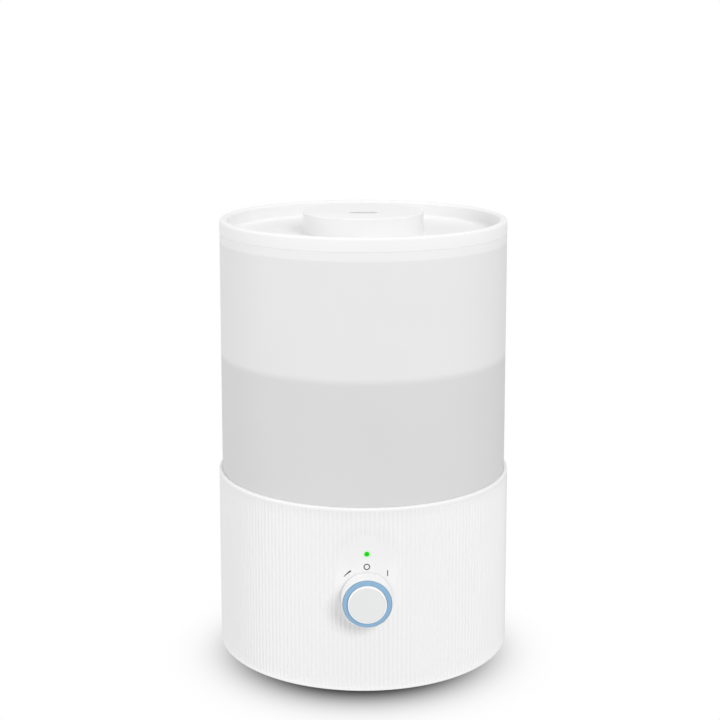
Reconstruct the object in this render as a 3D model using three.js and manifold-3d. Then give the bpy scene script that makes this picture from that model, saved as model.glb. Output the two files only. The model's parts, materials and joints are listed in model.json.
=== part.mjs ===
// A top-fill cool mist humidifier, in millimetres, +Z up, front facing -Y.
// The origin is the middle of the bottom cover's outer face. The rubber feet reach below it.
// Round pieces are turned profiles, given as [radius, height] points.

import * as THREE from "three";
import { mergeVertices } from "three/addons/utils/BufferGeometryUtils.js";
import Module from "manifold-3d";

// ---- driving dimensions ----

const GAP = 0.3; // between pieces that touch
const PAST = 1; // how far a cutting tool reaches past what it cuts
const LARGE = 44; // segments round the body
const MEDIUM = 18;
const SMALL = 8;

const BASE_BOTTOM_R = 85.1;
const BASE_TOP_R = 84.6;
const BASE_H = 104.8;
const SHELL_IN_R = 82.8; // inside the shell, below the tray
const NEST_R = 83.05; // inside the shell, where the tank nests
const COVER_T = 2.4;

const TRAY_TOP = 97; // the ledge that the tank stands on
const TRAY_FLOOR = 84;
const TRAY_IN_R = 76.5;
const TRAY_T = 2.2;
const SUMP_R = 22;
const SUMP_FLOOR = 68;
const SUMP_UNDER = 64;

const TANK_BOTTOM = TRAY_TOP + GAP;
const TANK_BOTTOM_R = 82.7;
const TANK_TOP_R = 82;
const TANK_T = 2.4;
const SHOULDER = [101, 103]; // the step inside the tank's skirt, under the floor
const SHOULDER_DEPTH = 2.3;
const TANK_FLOOR_R = 79.8;
const TANK_FLOOR_UNDER = 104.6;
const TANK_FLOOR_TOP = 107.1;
const CHIMNEY_R = 20;
const CHIMNEY_IN_R = 18;
const CHIMNEY_BOTTOM = 90;
const CHIMNEY_TOP = 238;

const LID_BOTTOM = 243.35;
const LID_R = 82.05;
const LID_T = 2.2;
const RIM_TOP = 250.9;
const RIM_IN_R = 77.4;
const DISH_FLOOR = 241.7;
const HUB_R = 34.3;
const HUB_TOP = 254.3;
const SLOT_W = 16; // mist slot, left to right
const SLOT_D = 6; // mist slot, front to back
const SLOT_Y = -6;
const SKIRT_BOTTOM = 238.5;
const SKIRT_R = 79.2;
const SKIRT_IN_R = 76.5;
const SEAL_R = [78.2, 79.4];
const SEAL_Z = [240.1, 241.3];

const VALVE_Y = 50;
const VALVE_LIFT = 4; // how far the seated tank's plunger is pushed up
const FLOAT_Y = -50;
const FLOAT_REST = TRAY_FLOOR + 0.4;
const FLOAT_H = 7;
const FLOAT_CAP_Z = 99.3;

const FAN_X = -38;
const FAN_SIZE = 50;
const FAN_Z = 4.9;
const FAN_T = 10;
const FAN_BORE_R = 23.5;
const FAN_HOLE = 20; // screw holes, from the fan's middle
const FAN_HUB_R = 12;
const DUCT_R = 12;
const DUCT_IN_R = 10.2;

const BOSS_R = 74; // cover screws, from the axis
const BOSS_TOP = 26;
const FOOT_R = 72; // feet, from the axis
const FOOT_DROP = 2;

const BOARD_Z = 10;
const BOARD_T = 1.6;
const BOARD_X = [14, 60];
const BOARD_HALF_Y = 40;
const CONTROL_Y = -68; // front face of the upright control board

const KNOB_Z = 54.7;
const LED_Z = 79.1;
const JACK_Z = 14.5;
const WALL_OUT = 84.9; // the front wall's outside, out from the axis

// ---- materials ----

const plastic = (color, roughness = 0.45) =>
  new THREE.MeshStandardMaterial({ color, roughness, metalness: 0 });

const metal = (color, roughness = 0.35) =>
  new THREE.MeshStandardMaterial({ color, roughness, metalness: 1 });

const WHITE = plastic(0xf4f5f5);
const PALE = plastic(0xe9ebec);
const BLUE = plastic(0x8fb7da, 0.35);
const INNER = plastic(0xdfe2e4, 0.5);
const SILICONE = plastic(0xd5d9dc, 0.6);
const RUBBER = plastic(0x3a3c3e, 0.85);
const BLACK = plastic(0x1d1f21, 0.5);
const BOARD_GREEN = plastic(0x2f6b43, 0.5);
const LENS_GREEN = plastic(0x36c24a, 0.15);
const STEEL = metal(0xb9bcc0);
const BRASS = metal(0xc9a45a);
const ALUMINIUM = metal(0xc8cacc, 0.4);
const CERAMIC = plastic(0xe6dcc4, 0.4);
const FROSTED = new THREE.MeshStandardMaterial({
  color: 0xe3e7ea,
  roughness: 0.4,
  metalness: 0,
  transparent: true,
  opacity: 0.6,
});

// ---- joining and cutting ----

const wasm = await Module();
wasm.setup();

function toSolid(geometry) {
  const bare = geometry.clone();
  bare.deleteAttribute("normal");
  bare.deleteAttribute("uv");
  const merged = mergeVertices(bare, 1e-4);
  const index = merged.getIndex().array;
  const triangles = [];
  for (let i = 0; i < index.length; i += 3) {
    const [a, b, c] = [index[i], index[i + 1], index[i + 2]];
    if (a !== b && b !== c && c !== a) triangles.push(a, b, c);
  }
  const mesh = new wasm.Mesh({
    numProp: 3,
    vertProperties: new Float32Array(merged.getAttribute("position").array),
    triVerts: new Uint32Array(triangles),
  });
  return new wasm.Manifold(mesh);
}

function toGeometry(solid) {
  const mesh = solid.getMesh();
  const geometry = new THREE.BufferGeometry();
  geometry.setAttribute("position", new THREE.BufferAttribute(mesh.vertProperties, 3));
  geometry.setIndex(new THREE.BufferAttribute(mesh.triVerts, 1));
  geometry.computeVertexNormals();
  return geometry;
}

function join(...geometries) {
  const solids = geometries.map(toSolid);
  return toGeometry(solids.reduce((whole, piece) => whole.add(piece)));
}

function cut(geometry, ...tools) {
  const solids = tools.map(toSolid);
  return toGeometry(solids.reduce((whole, tool) => whole.subtract(tool), toSolid(geometry)));
}

// ---- plain shapes ----

// A turned solid. The profile is closed on itself, or starts and ends on the axis.
function turned(profile, segments = MEDIUM) {
  const points = profile.map(([r, z]) => new THREE.Vector2(r, z));
  if (THREE.ShapeUtils.area(points) < 0) points.reverse();
  const onAxis = points.filter((p) => p.x === 0);
  if (onAxis.length === 2) {
    while (points[0].x !== 0 || points.at(-1).x !== 0) points.push(points.shift());
  } else {
    points.push(points[0].clone());
  }
  return new THREE.LatheGeometry(points, segments).rotateX(Math.PI / 2);
}

function rod(r, bottom, top, segments = SMALL) {
  const geometry = new THREE.CylinderGeometry(r, r, top - bottom, segments);
  return geometry.rotateX(Math.PI / 2).translate(0, 0, (bottom + top) / 2);
}

function tube(inner, outer, bottom, top, segments = MEDIUM) {
  const profile = [[inner, bottom], [outer, bottom], [outer, top], [inner, top]];
  return turned(profile, segments);
}

function block([x0, x1], [y0, y1], [z0, z1]) {
  const geometry = new THREE.BoxGeometry(x1 - x0, y1 - y0, z1 - z0);
  return geometry.translate((x0 + x1) / 2, (y0 + y1) / 2, (z0 + z1) / 2);
}

// A shape built along +Z, laid so that its +Z points out of the front, at height z.
const facingFront = (geometry, z) => geometry.rotateX(Math.PI / 2).translate(0, 0, z);

const turnedAbout = (geometry, degrees) => geometry.rotateZ(THREE.MathUtils.degToRad(degrees));

function onCircle(radius, degrees) {
  const angle = THREE.MathUtils.degToRad(degrees);
  return [radius * Math.cos(angle), radius * Math.sin(angle)];
}

// A pan-headed screw whose shank runs from inside its head to its tip, above or below.
function screw(headR, shankR, headBottom, headTop, tip) {
  const root = (headBottom + headTop) / 2;
  return join(rod(headR, headBottom, headTop), rod(shankR, Math.min(root, tip), Math.max(root, tip)));
}

// A round section swept along a smooth curve through the points.
function swept(points, radius, steps) {
  const section = new THREE.Shape().absarc(0, 0, radius, 0, 2 * Math.PI);
  return new THREE.ExtrudeGeometry(section, {
    steps,
    curveSegments: 3,
    extrudePath: new THREE.CatmullRomCurve3(points),
    bevelEnabled: false,
  });
}

// ---- the model ----

const humidifier = new THREE.Group();

function part(name, geometry, material, parent = humidifier) {
  const mesh = new THREE.Mesh(toGeometry(toSolid(geometry)), material);
  mesh.name = name;
  parent.add(mesh);
  return mesh;
}

// ---- lid ----

// A dish whose skirt drops into the tank's mouth, with a groove round it for the seal.
function lidCover() {
  const under = DISH_FLOOR - LID_T;
  const body = turned([
    [0, HUB_TOP - LID_T],
    [HUB_R - LID_T, HUB_TOP - LID_T],
    [HUB_R - LID_T, under],
    [SKIRT_IN_R, under],
    [SKIRT_IN_R, SKIRT_BOTTOM],
    [SKIRT_R, SKIRT_BOTTOM],
    [SKIRT_R, SEAL_Z[0] - GAP],
    [SEAL_R[0] - GAP, SEAL_Z[0] - GAP],
    [SEAL_R[0] - GAP, SEAL_Z[1] + GAP],
    [SKIRT_R, SEAL_Z[1] + GAP],
    [SKIRT_R, LID_BOTTOM],
    [LID_R - 0.4, LID_BOTTOM],
    [LID_R, LID_BOTTOM + 0.4],
    [LID_R, RIM_TOP - 1.7],
    [LID_R - 1.3, RIM_TOP],
    [RIM_IN_R + 1.6, RIM_TOP],
    [RIM_IN_R + 0.2, RIM_TOP - 1.6],
    [RIM_IN_R, DISH_FLOOR + 1.5],
    [RIM_IN_R - 1.5, DISH_FLOOR],
    [HUB_R, DISH_FLOOR],
    [HUB_R, HUB_TOP - 0.8],
    [HUB_R - 0.8, HUB_TOP],
    [0, HUB_TOP],
  ], LARGE);
  const slot = block(
    [-SLOT_W / 2, SLOT_W / 2],
    [SLOT_Y - SLOT_D / 2, SLOT_Y + SLOT_D / 2],
    [HUB_TOP - LID_T - PAST, HUB_TOP + PAST],
  );
  return cut(body, slot);
}

const NOZZLE_IN_R = CHIMNEY_R + 0.6;
const NOZZLE_R = CHIMNEY_R + 2.6;
const LINER_HOLE_R = NOZZLE_R + 0.6;

// A plate under the dish, with a lip round the nozzle.
function lidLiner() {
  const [bottom, top] = [DISH_FLOOR - LID_T - GAP - 1.8, DISH_FLOOR - LID_T - GAP];
  const lip = 2;
  return turned([
    [LINER_HOLE_R, bottom - lip],
    [LINER_HOLE_R + 1.8, bottom - lip],
    [LINER_HOLE_R + 1.8, bottom],
    [SKIRT_IN_R - 0.4, bottom],
    [SKIRT_IN_R - 0.4, top],
    [LINER_HOLE_R, top],
  ], LARGE);
}

// A collar that hangs from the hub round the chimney's top.
function mistNozzle() {
  const top = HUB_TOP - LID_T - GAP;
  const flangeUnder = top - 1.6;
  const overlap = 8;
  return turned([
    [NOZZLE_IN_R, CHIMNEY_TOP - overlap],
    [NOZZLE_R, CHIMNEY_TOP - overlap],
    [NOZZLE_R, flangeUnder],
    [HUB_R - LID_T - 0.5, flangeUnder],
    [HUB_R - LID_T - 0.5, top],
    [NOZZLE_IN_R, top],
  ]);
}

part("lid_cover", lidCover(), WHITE);
part("lid_liner", lidLiner(), WHITE);
part("lid_seal", tube(...SEAL_R, ...SEAL_Z, LARGE), SILICONE);
part("mist_nozzle", mistNozzle(), PALE);

// ---- tank ----

// The bottom edge is a skirt, with a shoulder inside that carries the gasket and the floor.
function tankWall() {
  const top = LID_BOTTOM - 0.45;
  const bottomIn = TANK_BOTTOM_R - TANK_T;
  return turned([
    [bottomIn, TANK_BOTTOM],
    [TANK_BOTTOM_R - 0.5, TANK_BOTTOM],
    [TANK_BOTTOM_R, TANK_BOTTOM + 0.5],
    [TANK_TOP_R, top - 0.5],
    [TANK_TOP_R - 0.5, top],
    [TANK_TOP_R - TANK_T, top],
    [bottomIn, SHOULDER[1]],
    [bottomIn - SHOULDER_DEPTH, SHOULDER[1]],
    [bottomIn - SHOULDER_DEPTH, SHOULDER[0]],
    [bottomIn, SHOULDER[0]],
  ], LARGE);
}

const VALVE_HOLE_R = 7;

function tankFloor() {
  const disc = tube(CHIMNEY_R + 0.4, TANK_FLOOR_R, TANK_FLOOR_UNDER, TANK_FLOOR_TOP, LARGE);
  const hole = rod(VALVE_HOLE_R, TANK_FLOOR_UNDER - PAST, TANK_FLOOR_TOP + PAST, MEDIUM);
  return cut(disc, hole.translate(0, VALVE_Y, 0));
}

function tankGasket() {
  const width = 1.4;
  return tube(TANK_FLOOR_R - width, TANK_FLOOR_R, SHOULDER[1] + GAP, TANK_FLOOR_UNDER - GAP, LARGE);
}

// A tube that carries the mist up through the water, on a flange welded to the floor.
function mistChimney() {
  const flange = [TANK_FLOOR_TOP + GAP, TANK_FLOOR_TOP + GAP + 2];
  const flangeR = CHIMNEY_R + 6;
  return turned([
    [CHIMNEY_IN_R, CHIMNEY_BOTTOM],
    [CHIMNEY_R, CHIMNEY_BOTTOM],
    [CHIMNEY_R, flange[0]],
    [flangeR, flange[0]],
    [flangeR, flange[1]],
    [CHIMNEY_R, flange[1]],
    [CHIMNEY_R, CHIMNEY_TOP],
    [CHIMNEY_IN_R, CHIMNEY_TOP],
  ]);
}

part("tank_wall", tankWall(), FROSTED);
part("tank_floor", tankFloor(), FROSTED);
part("tank_gasket", tankGasket(), SILICONE);
part("mist_chimney", mistChimney(), FROSTED);

// ---- tank valve: a sprung plunger that the pin in the tray pushes open ----

const CAGE_R = 13;
const CAGE_IN_R = 11;
const CAGE_BOTTOM = TANK_FLOOR_TOP + GAP;
const CAGE_TOP = 129;
const CAGE_PLATE = 2;
const ROD_R = 2;
const DISC_R = 9.5;
const DISC_T = 2;
const VALVE_SEAL_T = 1.6;
const DISC_UNDER = CAGE_BOTTOM + VALVE_LIFT + VALVE_SEAL_T + GAP;
const PIN_TOP = 93;

function valveCage() {
  const rodHole = ROD_R + 0.5;
  const wall = turned([
    [CAGE_IN_R, CAGE_BOTTOM],
    [CAGE_R, CAGE_BOTTOM],
    [CAGE_R, CAGE_TOP],
    [rodHole, CAGE_TOP],
    [rodHole, CAGE_TOP - CAGE_PLATE],
    [CAGE_IN_R, CAGE_TOP - CAGE_PLATE],
  ]);
  const reach = CAGE_R + PAST;
  const window = [CAGE_BOTTOM + 2, CAGE_BOTTOM + 14];
  const windows = [0, 90].map((degrees) => turnedAbout(block([-reach, reach], [-5, 5], window), degrees));
  return cut(wall, ...windows);
}

function valveSpring() {
  const wireR = 0.5;
  const radius = 5;
  const turns = 4;
  const steps = 10; // to a turn
  const bottom = DISC_UNDER + DISC_T + GAP + wireR;
  const top = CAGE_TOP - CAGE_PLATE - GAP - wireR;
  const points = [];
  for (let i = 0; i <= turns * steps; i++) {
    const angle = (i / steps) * 2 * Math.PI;
    const z = THREE.MathUtils.lerp(bottom, top, i / (turns * steps));
    points.push(new THREE.Vector3(radius * Math.cos(angle), radius * Math.sin(angle), z));
  }
  return swept(points, wireR, turns * steps);
}

function valvePlunger() {
  return turned([
    [0, PIN_TOP + GAP],
    [ROD_R, PIN_TOP + GAP],
    [ROD_R, DISC_UNDER],
    [DISC_R, DISC_UNDER],
    [DISC_R, DISC_UNDER + DISC_T],
    [ROD_R, DISC_UNDER + DISC_T],
    [ROD_R, CAGE_TOP + 1],
    [0, CAGE_TOP + 1],
  ], SMALL);
}

function valveSeal() {
  const top = DISC_UNDER - GAP;
  return tube(ROD_R + GAP, DISC_R + GAP, top - VALVE_SEAL_T, top);
}

const valve = new THREE.Group();
valve.position.set(0, VALVE_Y, 0);
humidifier.add(valve);
part("valve_cage", valveCage(), INNER, valve);
part("valve_spring", valveSpring(), STEEL, valve);
part("valve_plunger", valvePlunger(), PALE, valve);
part("valve_seal", valveSeal(), SILICONE, valve);

// ---- base: shell, bottom cover, feet and screws ----

const BOSS_ANGLES = [45, 135, 225, 315];
const FOOT_ANGLES = [0, 90, 180, 270];
const FOOT_PAD_R = 6;
const FOOT_HOLE_R = 6.4;
const FOOT_SEAT = 1.2; // depth of a foot's seat
const VENT_PITCH = 6;
const VENT_W = 3;
const VENT_HALF_Y = 15;
const FAN_POST_R = 3;
const FAN_PILOT_R = 1.6;
const BOARD_POST_R = 2.5;
const BOARD_POST_INSET = 4;

// The outer wall, with a ledge that carries the tray, and four ribbed screw bosses.
function baseShell() {
  const ledgeTop = TRAY_TOP - TRAY_T - GAP;
  const ledgeIn = TRAY_IN_R + TRAY_T + 0.6;
  const ledgeT = 2.2;
  const wall = turned([
    [SHELL_IN_R, 0],
    [BASE_BOTTOM_R - 0.7, 0],
    [BASE_BOTTOM_R, 0.8],
    [BASE_TOP_R, BASE_H - 1.5],
    [BASE_TOP_R - 0.5, BASE_H - 0.4],
    [BASE_TOP_R - 1, BASE_H],
    [NEST_R, BASE_H - 0.5],
    [NEST_R, ledgeTop],
    [ledgeIn, ledgeTop],
    [ledgeIn, ledgeTop - ledgeT],
    [SHELL_IN_R, ledgeTop - ledgeT],
  ], LARGE);
  const bossBottom = COVER_T + GAP;
  const bosses = BOSS_ANGLES.flatMap((degrees) => {
    const boss = rod(4, bossBottom, BOSS_TOP).translate(BOSS_R, 0, 0);
    const rib = block([BOSS_R + 2, BASE_TOP_R - 1], [-1.2, 1.2], [bossBottom, BOSS_TOP]);
    return [turnedAbout(boss, degrees), turnedAbout(rib, degrees)];
  });
  const pilots = BOSS_ANGLES.map((degrees) =>
    turnedAbout(rod(1.5, 0, 16).translate(BOSS_R, 0, 0), degrees));
  const [inside, outside] = [70, 95]; // both sides of the wall
  const knobHole = facingFront(rod(4, inside, outside, MEDIUM), KNOB_Z);
  const ledHole = facingFront(rod(1.8, inside, outside), LED_Z);
  const jackHole = facingFront(rod(5, -outside, -inside, MEDIUM), JACK_Z);
  return cut(join(wall, ...bosses), ...pilots, knobHole, ledHole, jackHole);
}

// A disc with seats for the feet and the screw heads, air slots under the fan, and posts.
function bottomCover() {
  const disc = rod(SHELL_IN_R - 0.5, 0, COVER_T, LARGE);
  const posts = [];
  const tools = [];
  for (const degrees of BOSS_ANGLES) {
    const [shankR, headR, headSeat] = [1.6, 3.5, 1.4];
    tools.push(turnedAbout(rod(shankR, -PAST, COVER_T + PAST).translate(BOSS_R, 0, 0), degrees));
    tools.push(turnedAbout(rod(headR, -PAST, headSeat).translate(BOSS_R, 0, 0), degrees));
  }
  for (const degrees of FOOT_ANGLES) {
    const seat = rod(FOOT_HOLE_R, -PAST, FOOT_SEAT, MEDIUM).translate(FOOT_R, 0, 0);
    tools.push(turnedAbout(seat, degrees));
  }
  for (const slot of [-2, -1, 0, 1, 2]) {
    const x = FAN_X + VENT_PITCH * slot;
    const half = VENT_W / 2;
    tools.push(block([x - half, x + half], [-VENT_HALF_Y, VENT_HALF_Y], [-PAST, COVER_T + PAST]));
  }
  for (const x of [-FAN_HOLE, FAN_HOLE]) {
    for (const y of [-FAN_HOLE, FAN_HOLE]) {
      posts.push(rod(FAN_POST_R, 1, FAN_Z - GAP).translate(FAN_X + x, y, 0));
      tools.push(rod(FAN_PILOT_R, 1.2, FAN_Z + PAST).translate(FAN_X + x, y, 0));
    }
  }
  for (const x of [BOARD_X[0] + BOARD_POST_INSET, BOARD_X[1] - BOARD_POST_INSET]) {
    for (const y of [-BOARD_HALF_Y + BOARD_POST_INSET, BOARD_HALF_Y - BOARD_POST_INSET]) {
      posts.push(rod(BOARD_POST_R, 1, BOARD_Z - GAP).translate(x, y, 0));
    }
  }
  return cut(join(disc, ...posts), ...tools);
}

part("base_shell", baseShell(), WHITE);
part("bottom_cover", bottomCover(), PALE);
FOOT_ANGLES.forEach((degrees, i) => {
  const [x, y] = onCircle(FOOT_R, degrees);
  const foot = part(`foot_${i + 1}`, rod(FOOT_PAD_R, -FOOT_DROP, FOOT_SEAT - GAP, MEDIUM), RUBBER);
  foot.position.set(x, y, 0);
});
BOSS_ANGLES.forEach((degrees, i) => {
  const [x, y] = onCircle(BOSS_R, degrees);
  const fastener = part(`cover_screw_${i + 1}`, screw(3.1, 1.2, 0.2, 1.1, 14), STEEL);
  fastener.position.set(x, y, 0);
});

// ---- basin tray, with its sump, valve pin, float post and air collar ----

const RETAINER_SCREW_R = 17.5; // screws, from the axis
const RETAINER_ANGLES = [90, 210, 330];
const WINDOW_R = 8.5; // the hole in the sump's floor, over the disc
const SEAT_R = 12.8; // the seal's seat, under the sump's floor
const PIEZO_R = 10;
const PIEZO_Z = [64.4, 65.6];
const RETAINER_Z = [61.4, 63.4];
const COLLAR_TOP = 95;

function basinTray() {
  const under = TRAY_FLOOR - TRAY_T;
  const basin = turned([
    [WINDOW_R, SUMP_FLOOR - 1],
    [SEAT_R, SUMP_FLOOR - 1],
    [SEAT_R, SUMP_UNDER],
    [SUMP_R + TRAY_T, SUMP_UNDER],
    [SUMP_R + TRAY_T, under],
    [TRAY_IN_R + TRAY_T, under],
    [TRAY_IN_R + TRAY_T, TRAY_TOP - TRAY_T],
    [SHELL_IN_R - 0.2, TRAY_TOP - TRAY_T],
    [SHELL_IN_R - 0.2, TRAY_TOP],
    [TRAY_IN_R, TRAY_TOP],
    [TRAY_IN_R, TRAY_FLOOR],
    [SUMP_R, TRAY_FLOOR],
    [SUMP_R, SUMP_FLOOR],
    [WINDOW_R, SUMP_FLOOR],
  ], LARGE);
  const pin = rod(3, TRAY_FLOOR - 1, PIN_TOP).translate(0, VALVE_Y, 0);
  const post = rod(2.5, TRAY_FLOOR - 1, FLOAT_CAP_Z - GAP).translate(0, FLOAT_Y, 0);
  const collar = rod(DUCT_R + 0.2, under, COLLAR_TOP, MEDIUM).translate(FAN_X, 0, 0);
  const airway = rod(DUCT_IN_R, under - PAST, COLLAR_TOP + PAST, MEDIUM).translate(FAN_X, 0, 0);
  const pilots = RETAINER_ANGLES.map((degrees) => {
    const pilot = rod(1.3, SUMP_UNDER - PAST, SUMP_FLOOR - 1);
    return turnedAbout(pilot.translate(RETAINER_SCREW_R, 0, 0), degrees);
  });
  return cut(join(basin, pin, post, collar), airway, ...pilots);
}

part("basin_tray", basinTray(), PALE);

// ---- transducer, clamped under the sump ----

// A ring with a lip over the disc's edge.
function transducerSeal() {
  const inner = PIEZO_R + GAP;
  const outer = SEAT_R - 0.4;
  const top = SUMP_FLOOR - 1 - GAP;
  return turned([
    [inner, RETAINER_Z[1] + GAP],
    [outer, RETAINER_Z[1] + GAP],
    [outer, top],
    [WINDOW_R + GAP, top],
    [WINDOW_R + GAP, PIEZO_Z[1] + GAP],
    [inner, PIEZO_Z[1] + GAP],
  ]);
}

function transducerRetainer() {
  const plate = tube(7, 20.5, ...RETAINER_Z);
  const holes = RETAINER_ANGLES.map((degrees) => {
    const hole = rod(1.4, RETAINER_Z[0] - PAST, RETAINER_Z[1] + PAST);
    return turnedAbout(hole.translate(RETAINER_SCREW_R, 0, 0), degrees);
  });
  return cut(plate, ...holes);
}

part("transducer_disc", rod(PIEZO_R, ...PIEZO_Z, MEDIUM), CERAMIC);
part("transducer_seal", transducerSeal(), SILICONE);
part("transducer_retainer", transducerRetainer(), BRASS);
RETAINER_ANGLES.forEach((degrees, i) => {
  const [x, y] = onCircle(RETAINER_SCREW_R, degrees);
  const headTop = RETAINER_Z[0] - GAP;
  const fastener = part(`retainer_screw_${i + 1}`, screw(2.3, 1, headTop - 1.5, headTop, 66.4), STEEL);
  fastener.position.set(x, y, 0);
});

// ---- float, with the ring magnet in its underside, and its reed switch ----

const floatGroup = new THREE.Group();
floatGroup.position.set(0, FLOAT_Y, 0);
humidifier.add(floatGroup);

const MAGNET_R = [4.5, 6.9];
const MAGNET_TOP = FLOAT_REST + 2.1;

function floatRing() {
  const pocket = tube(MAGNET_R[0] - GAP, MAGNET_R[1] + GAP, FLOAT_REST - PAST, MAGNET_TOP + GAP);
  return cut(tube(3, 9.5, FLOAT_REST, FLOAT_REST + FLOAT_H), pocket);
}

const switchTop = TRAY_FLOOR - TRAY_T - GAP;
part("float_ring", floatRing(), BLUE, floatGroup);
part("float_magnet", tube(...MAGNET_R, FLOAT_REST + GAP, MAGNET_TOP), BLACK, floatGroup);
part("float_cap", rod(5, FLOAT_CAP_Z, FLOAT_CAP_Z + 2, MEDIUM), PALE, floatGroup);
part("float_switch", block([-7, 7], [-2, 2], [switchTop - 4.2, switchTop]), BLACK, floatGroup);

// ---- fan and air duct ----

const fan = new THREE.Group();
fan.position.set(FAN_X, 0, 0);
humidifier.add(fan);

function fanFrame() {
  const half = FAN_SIZE / 2;
  const body = block([-half, half], [-half, half], [FAN_Z, FAN_Z + FAN_T]);
  const bore = rod(FAN_BORE_R, FAN_Z - PAST, FAN_Z + FAN_T + PAST, 2 * MEDIUM);
  const holes = [[1, 1], [1, -1], [-1, 1], [-1, -1]].map(([x, y]) =>
    rod(2.1, FAN_Z - PAST, FAN_Z + FAN_T + PAST).translate(x * FAN_HOLE, y * FAN_HOLE, 0));
  const plate = [FAN_Z, FAN_Z + 1.2];
  const reach = FAN_BORE_R + 0.5;
  const motorPlate = rod(FAN_HUB_R, ...plate, MEDIUM);
  const struts = [45, 135].map((degrees) =>
    turnedAbout(block([-reach, reach], [-1.5, 1.5], plate), degrees));
  return join(cut(body, bore, ...holes), motorPlate, ...struts);
}

function fanRotor() {
  const blades = 7;
  const pitch = THREE.MathUtils.degToRad(40);
  const [root, tip] = [FAN_HUB_R - 0.85, FAN_BORE_R - 0.85];
  const pieces = [rod(FAN_HUB_R, FAN_Z + 1.6, FAN_Z + FAN_T - 0.6, MEDIUM)];
  for (let i = 0; i < blades; i++) {
    const blade = new THREE.BoxGeometry(tip - root, 1, 8.6).rotateX(pitch);
    blade.translate((root + tip) / 2, 0, FAN_Z + 5.4);
    pieces.push(turnedAbout(blade, (360 / blades) * i));
  }
  return join(...pieces);
}

// A funnel from the fan to the tray's collar.
function airDuct() {
  const bottom = FAN_Z + FAN_T + GAP;
  const top = TRAY_FLOOR - TRAY_T - GAP;
  const [mouthIn, mouth] = [23.2, 24.7];
  const [mouthTop, throat] = [20, 42];
  return turned([
    [mouthIn, bottom],
    [mouth, bottom],
    [mouth, mouthTop],
    [DUCT_R, throat],
    [DUCT_R, top],
    [DUCT_IN_R, top],
    [DUCT_IN_R, throat + 0.6],
    [mouthIn, mouthTop - 0.4],
  ]);
}

part("fan_frame", fanFrame(), BLACK, fan);
part("fan_rotor", fanRotor(), BLACK, fan);
part("air_duct", airDuct(), INNER, fan);
[-1, 1].forEach((side, i) => {
  const seat = FAN_Z + FAN_T + GAP;
  const fastener = part(`fan_screw_${i + 1}`, screw(2.6, 1.3, seat, seat + 1.6, 2), STEEL, fan);
  fastener.position.set(side * FAN_HOLE, side * FAN_HOLE, 0);
});

// ---- driver board ----

const BOARD_TOP = BOARD_Z + BOARD_T;
const PART_Z = BOARD_TOP + GAP; // the underside of what stands on the board

function heatsink() {
  const top = 38;
  const [finTip, plateFace, plateBack] = [46, 52, 54.5];
  const plate = block([plateFace, plateBack], [-14, 14], [PART_Z, top]);
  const fins = [-12, -6, 0, 6, 12].map((y) =>
    block([finTip, plateFace + 1], [y - 0.8, y + 0.8], [PART_Z, top]));
  return join(plate, ...fins);
}

const boardOutline = [BOARD_X, [-BOARD_HALF_Y, BOARD_HALF_Y], [BOARD_Z, BOARD_TOP]];
part("circuit_board", block(...boardOutline), BOARD_GREEN);
part("driver_heatsink", heatsink(), ALUMINIUM);
part("driver_inductor", rod(7, PART_Z, 24, MEDIUM).translate(30, 24, 0), BRASS);
part("driver_capacitor", rod(5, PART_Z, 29, MEDIUM).translate(28, -22, 0), BLACK);

// ---- control board, potentiometer and indicator, behind the front wall ----
// Each is built along +Z and faced to the front, so its heights are distances from the axis.

const POT_BACK = -CONTROL_Y + GAP;
const POT_FRONT = 77.6;
const BUSHING_R = 3.7;
const SHAFT_HOLE_R = 3.3;
const LAMP_FRONT = 73.5;
const LAMP_R = 1.5;
const LENS_TIP = 85.25;

function potentiometer() {
  const half = 8;
  const body = block([-half, half], [-half, half], [POT_BACK, POT_FRONT]);
  const bushing = rod(BUSHING_R, POT_FRONT - PAST, WALL_OUT + 2.3, MEDIUM);
  const bore = rod(SHAFT_HOLE_R, POT_FRONT - 4, WALL_OUT + 2.3 + PAST, MEDIUM);
  return facingFront(cut(join(body, bushing), bore), KNOB_Z);
}

function potNut() {
  const [seat, face] = [WALL_OUT + GAP, WALL_OUT + 2.1];
  const bore = rod(BUSHING_R + GAP, seat - PAST, face + PAST, MEDIUM);
  return facingFront(cut(rod(5.4, seat, face, 6), bore), KNOB_Z);
}

function ledLens() {
  const back = LAMP_FRONT + GAP;
  return turned([
    [0, back],
    [LAMP_R, back],
    [LAMP_R, LENS_TIP - 0.35],
    [LAMP_R - 0.4, LENS_TIP - 0.1],
    [0, LENS_TIP],
  ], SMALL);
}

const controlBoard = block([-19, 19], [CONTROL_Y, CONTROL_Y + BOARD_T], [40, LED_Z + 1.7]);
part("control_board", controlBoard, BOARD_GREEN);
part("potentiometer", potentiometer(), STEEL);
part("pot_nut", potNut(), STEEL);
part("led_lamp", facingFront(rod(LAMP_R, POT_BACK, LAMP_FRONT), LED_Z), LENS_GREEN);
part("led_lens", facingFront(ledLens(), LED_Z), LENS_GREEN);

// ---- knob, turned about its own +Z and then faced to the front ----

const KNOB_R = 14;
const KNOB_BACK = 85.9; // distances out from the body's axis
const KNOB_FACE = 95;
const CAP_FACE = 97;
const RING_R = [10.65, 13.1];
const RING_SEAT = KNOB_FACE - 1.4;
const CAP_R = 10.3;
const CAP_SEAT = RING_SEAT - 0.9;
const SHAFT_R = 3;

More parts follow.
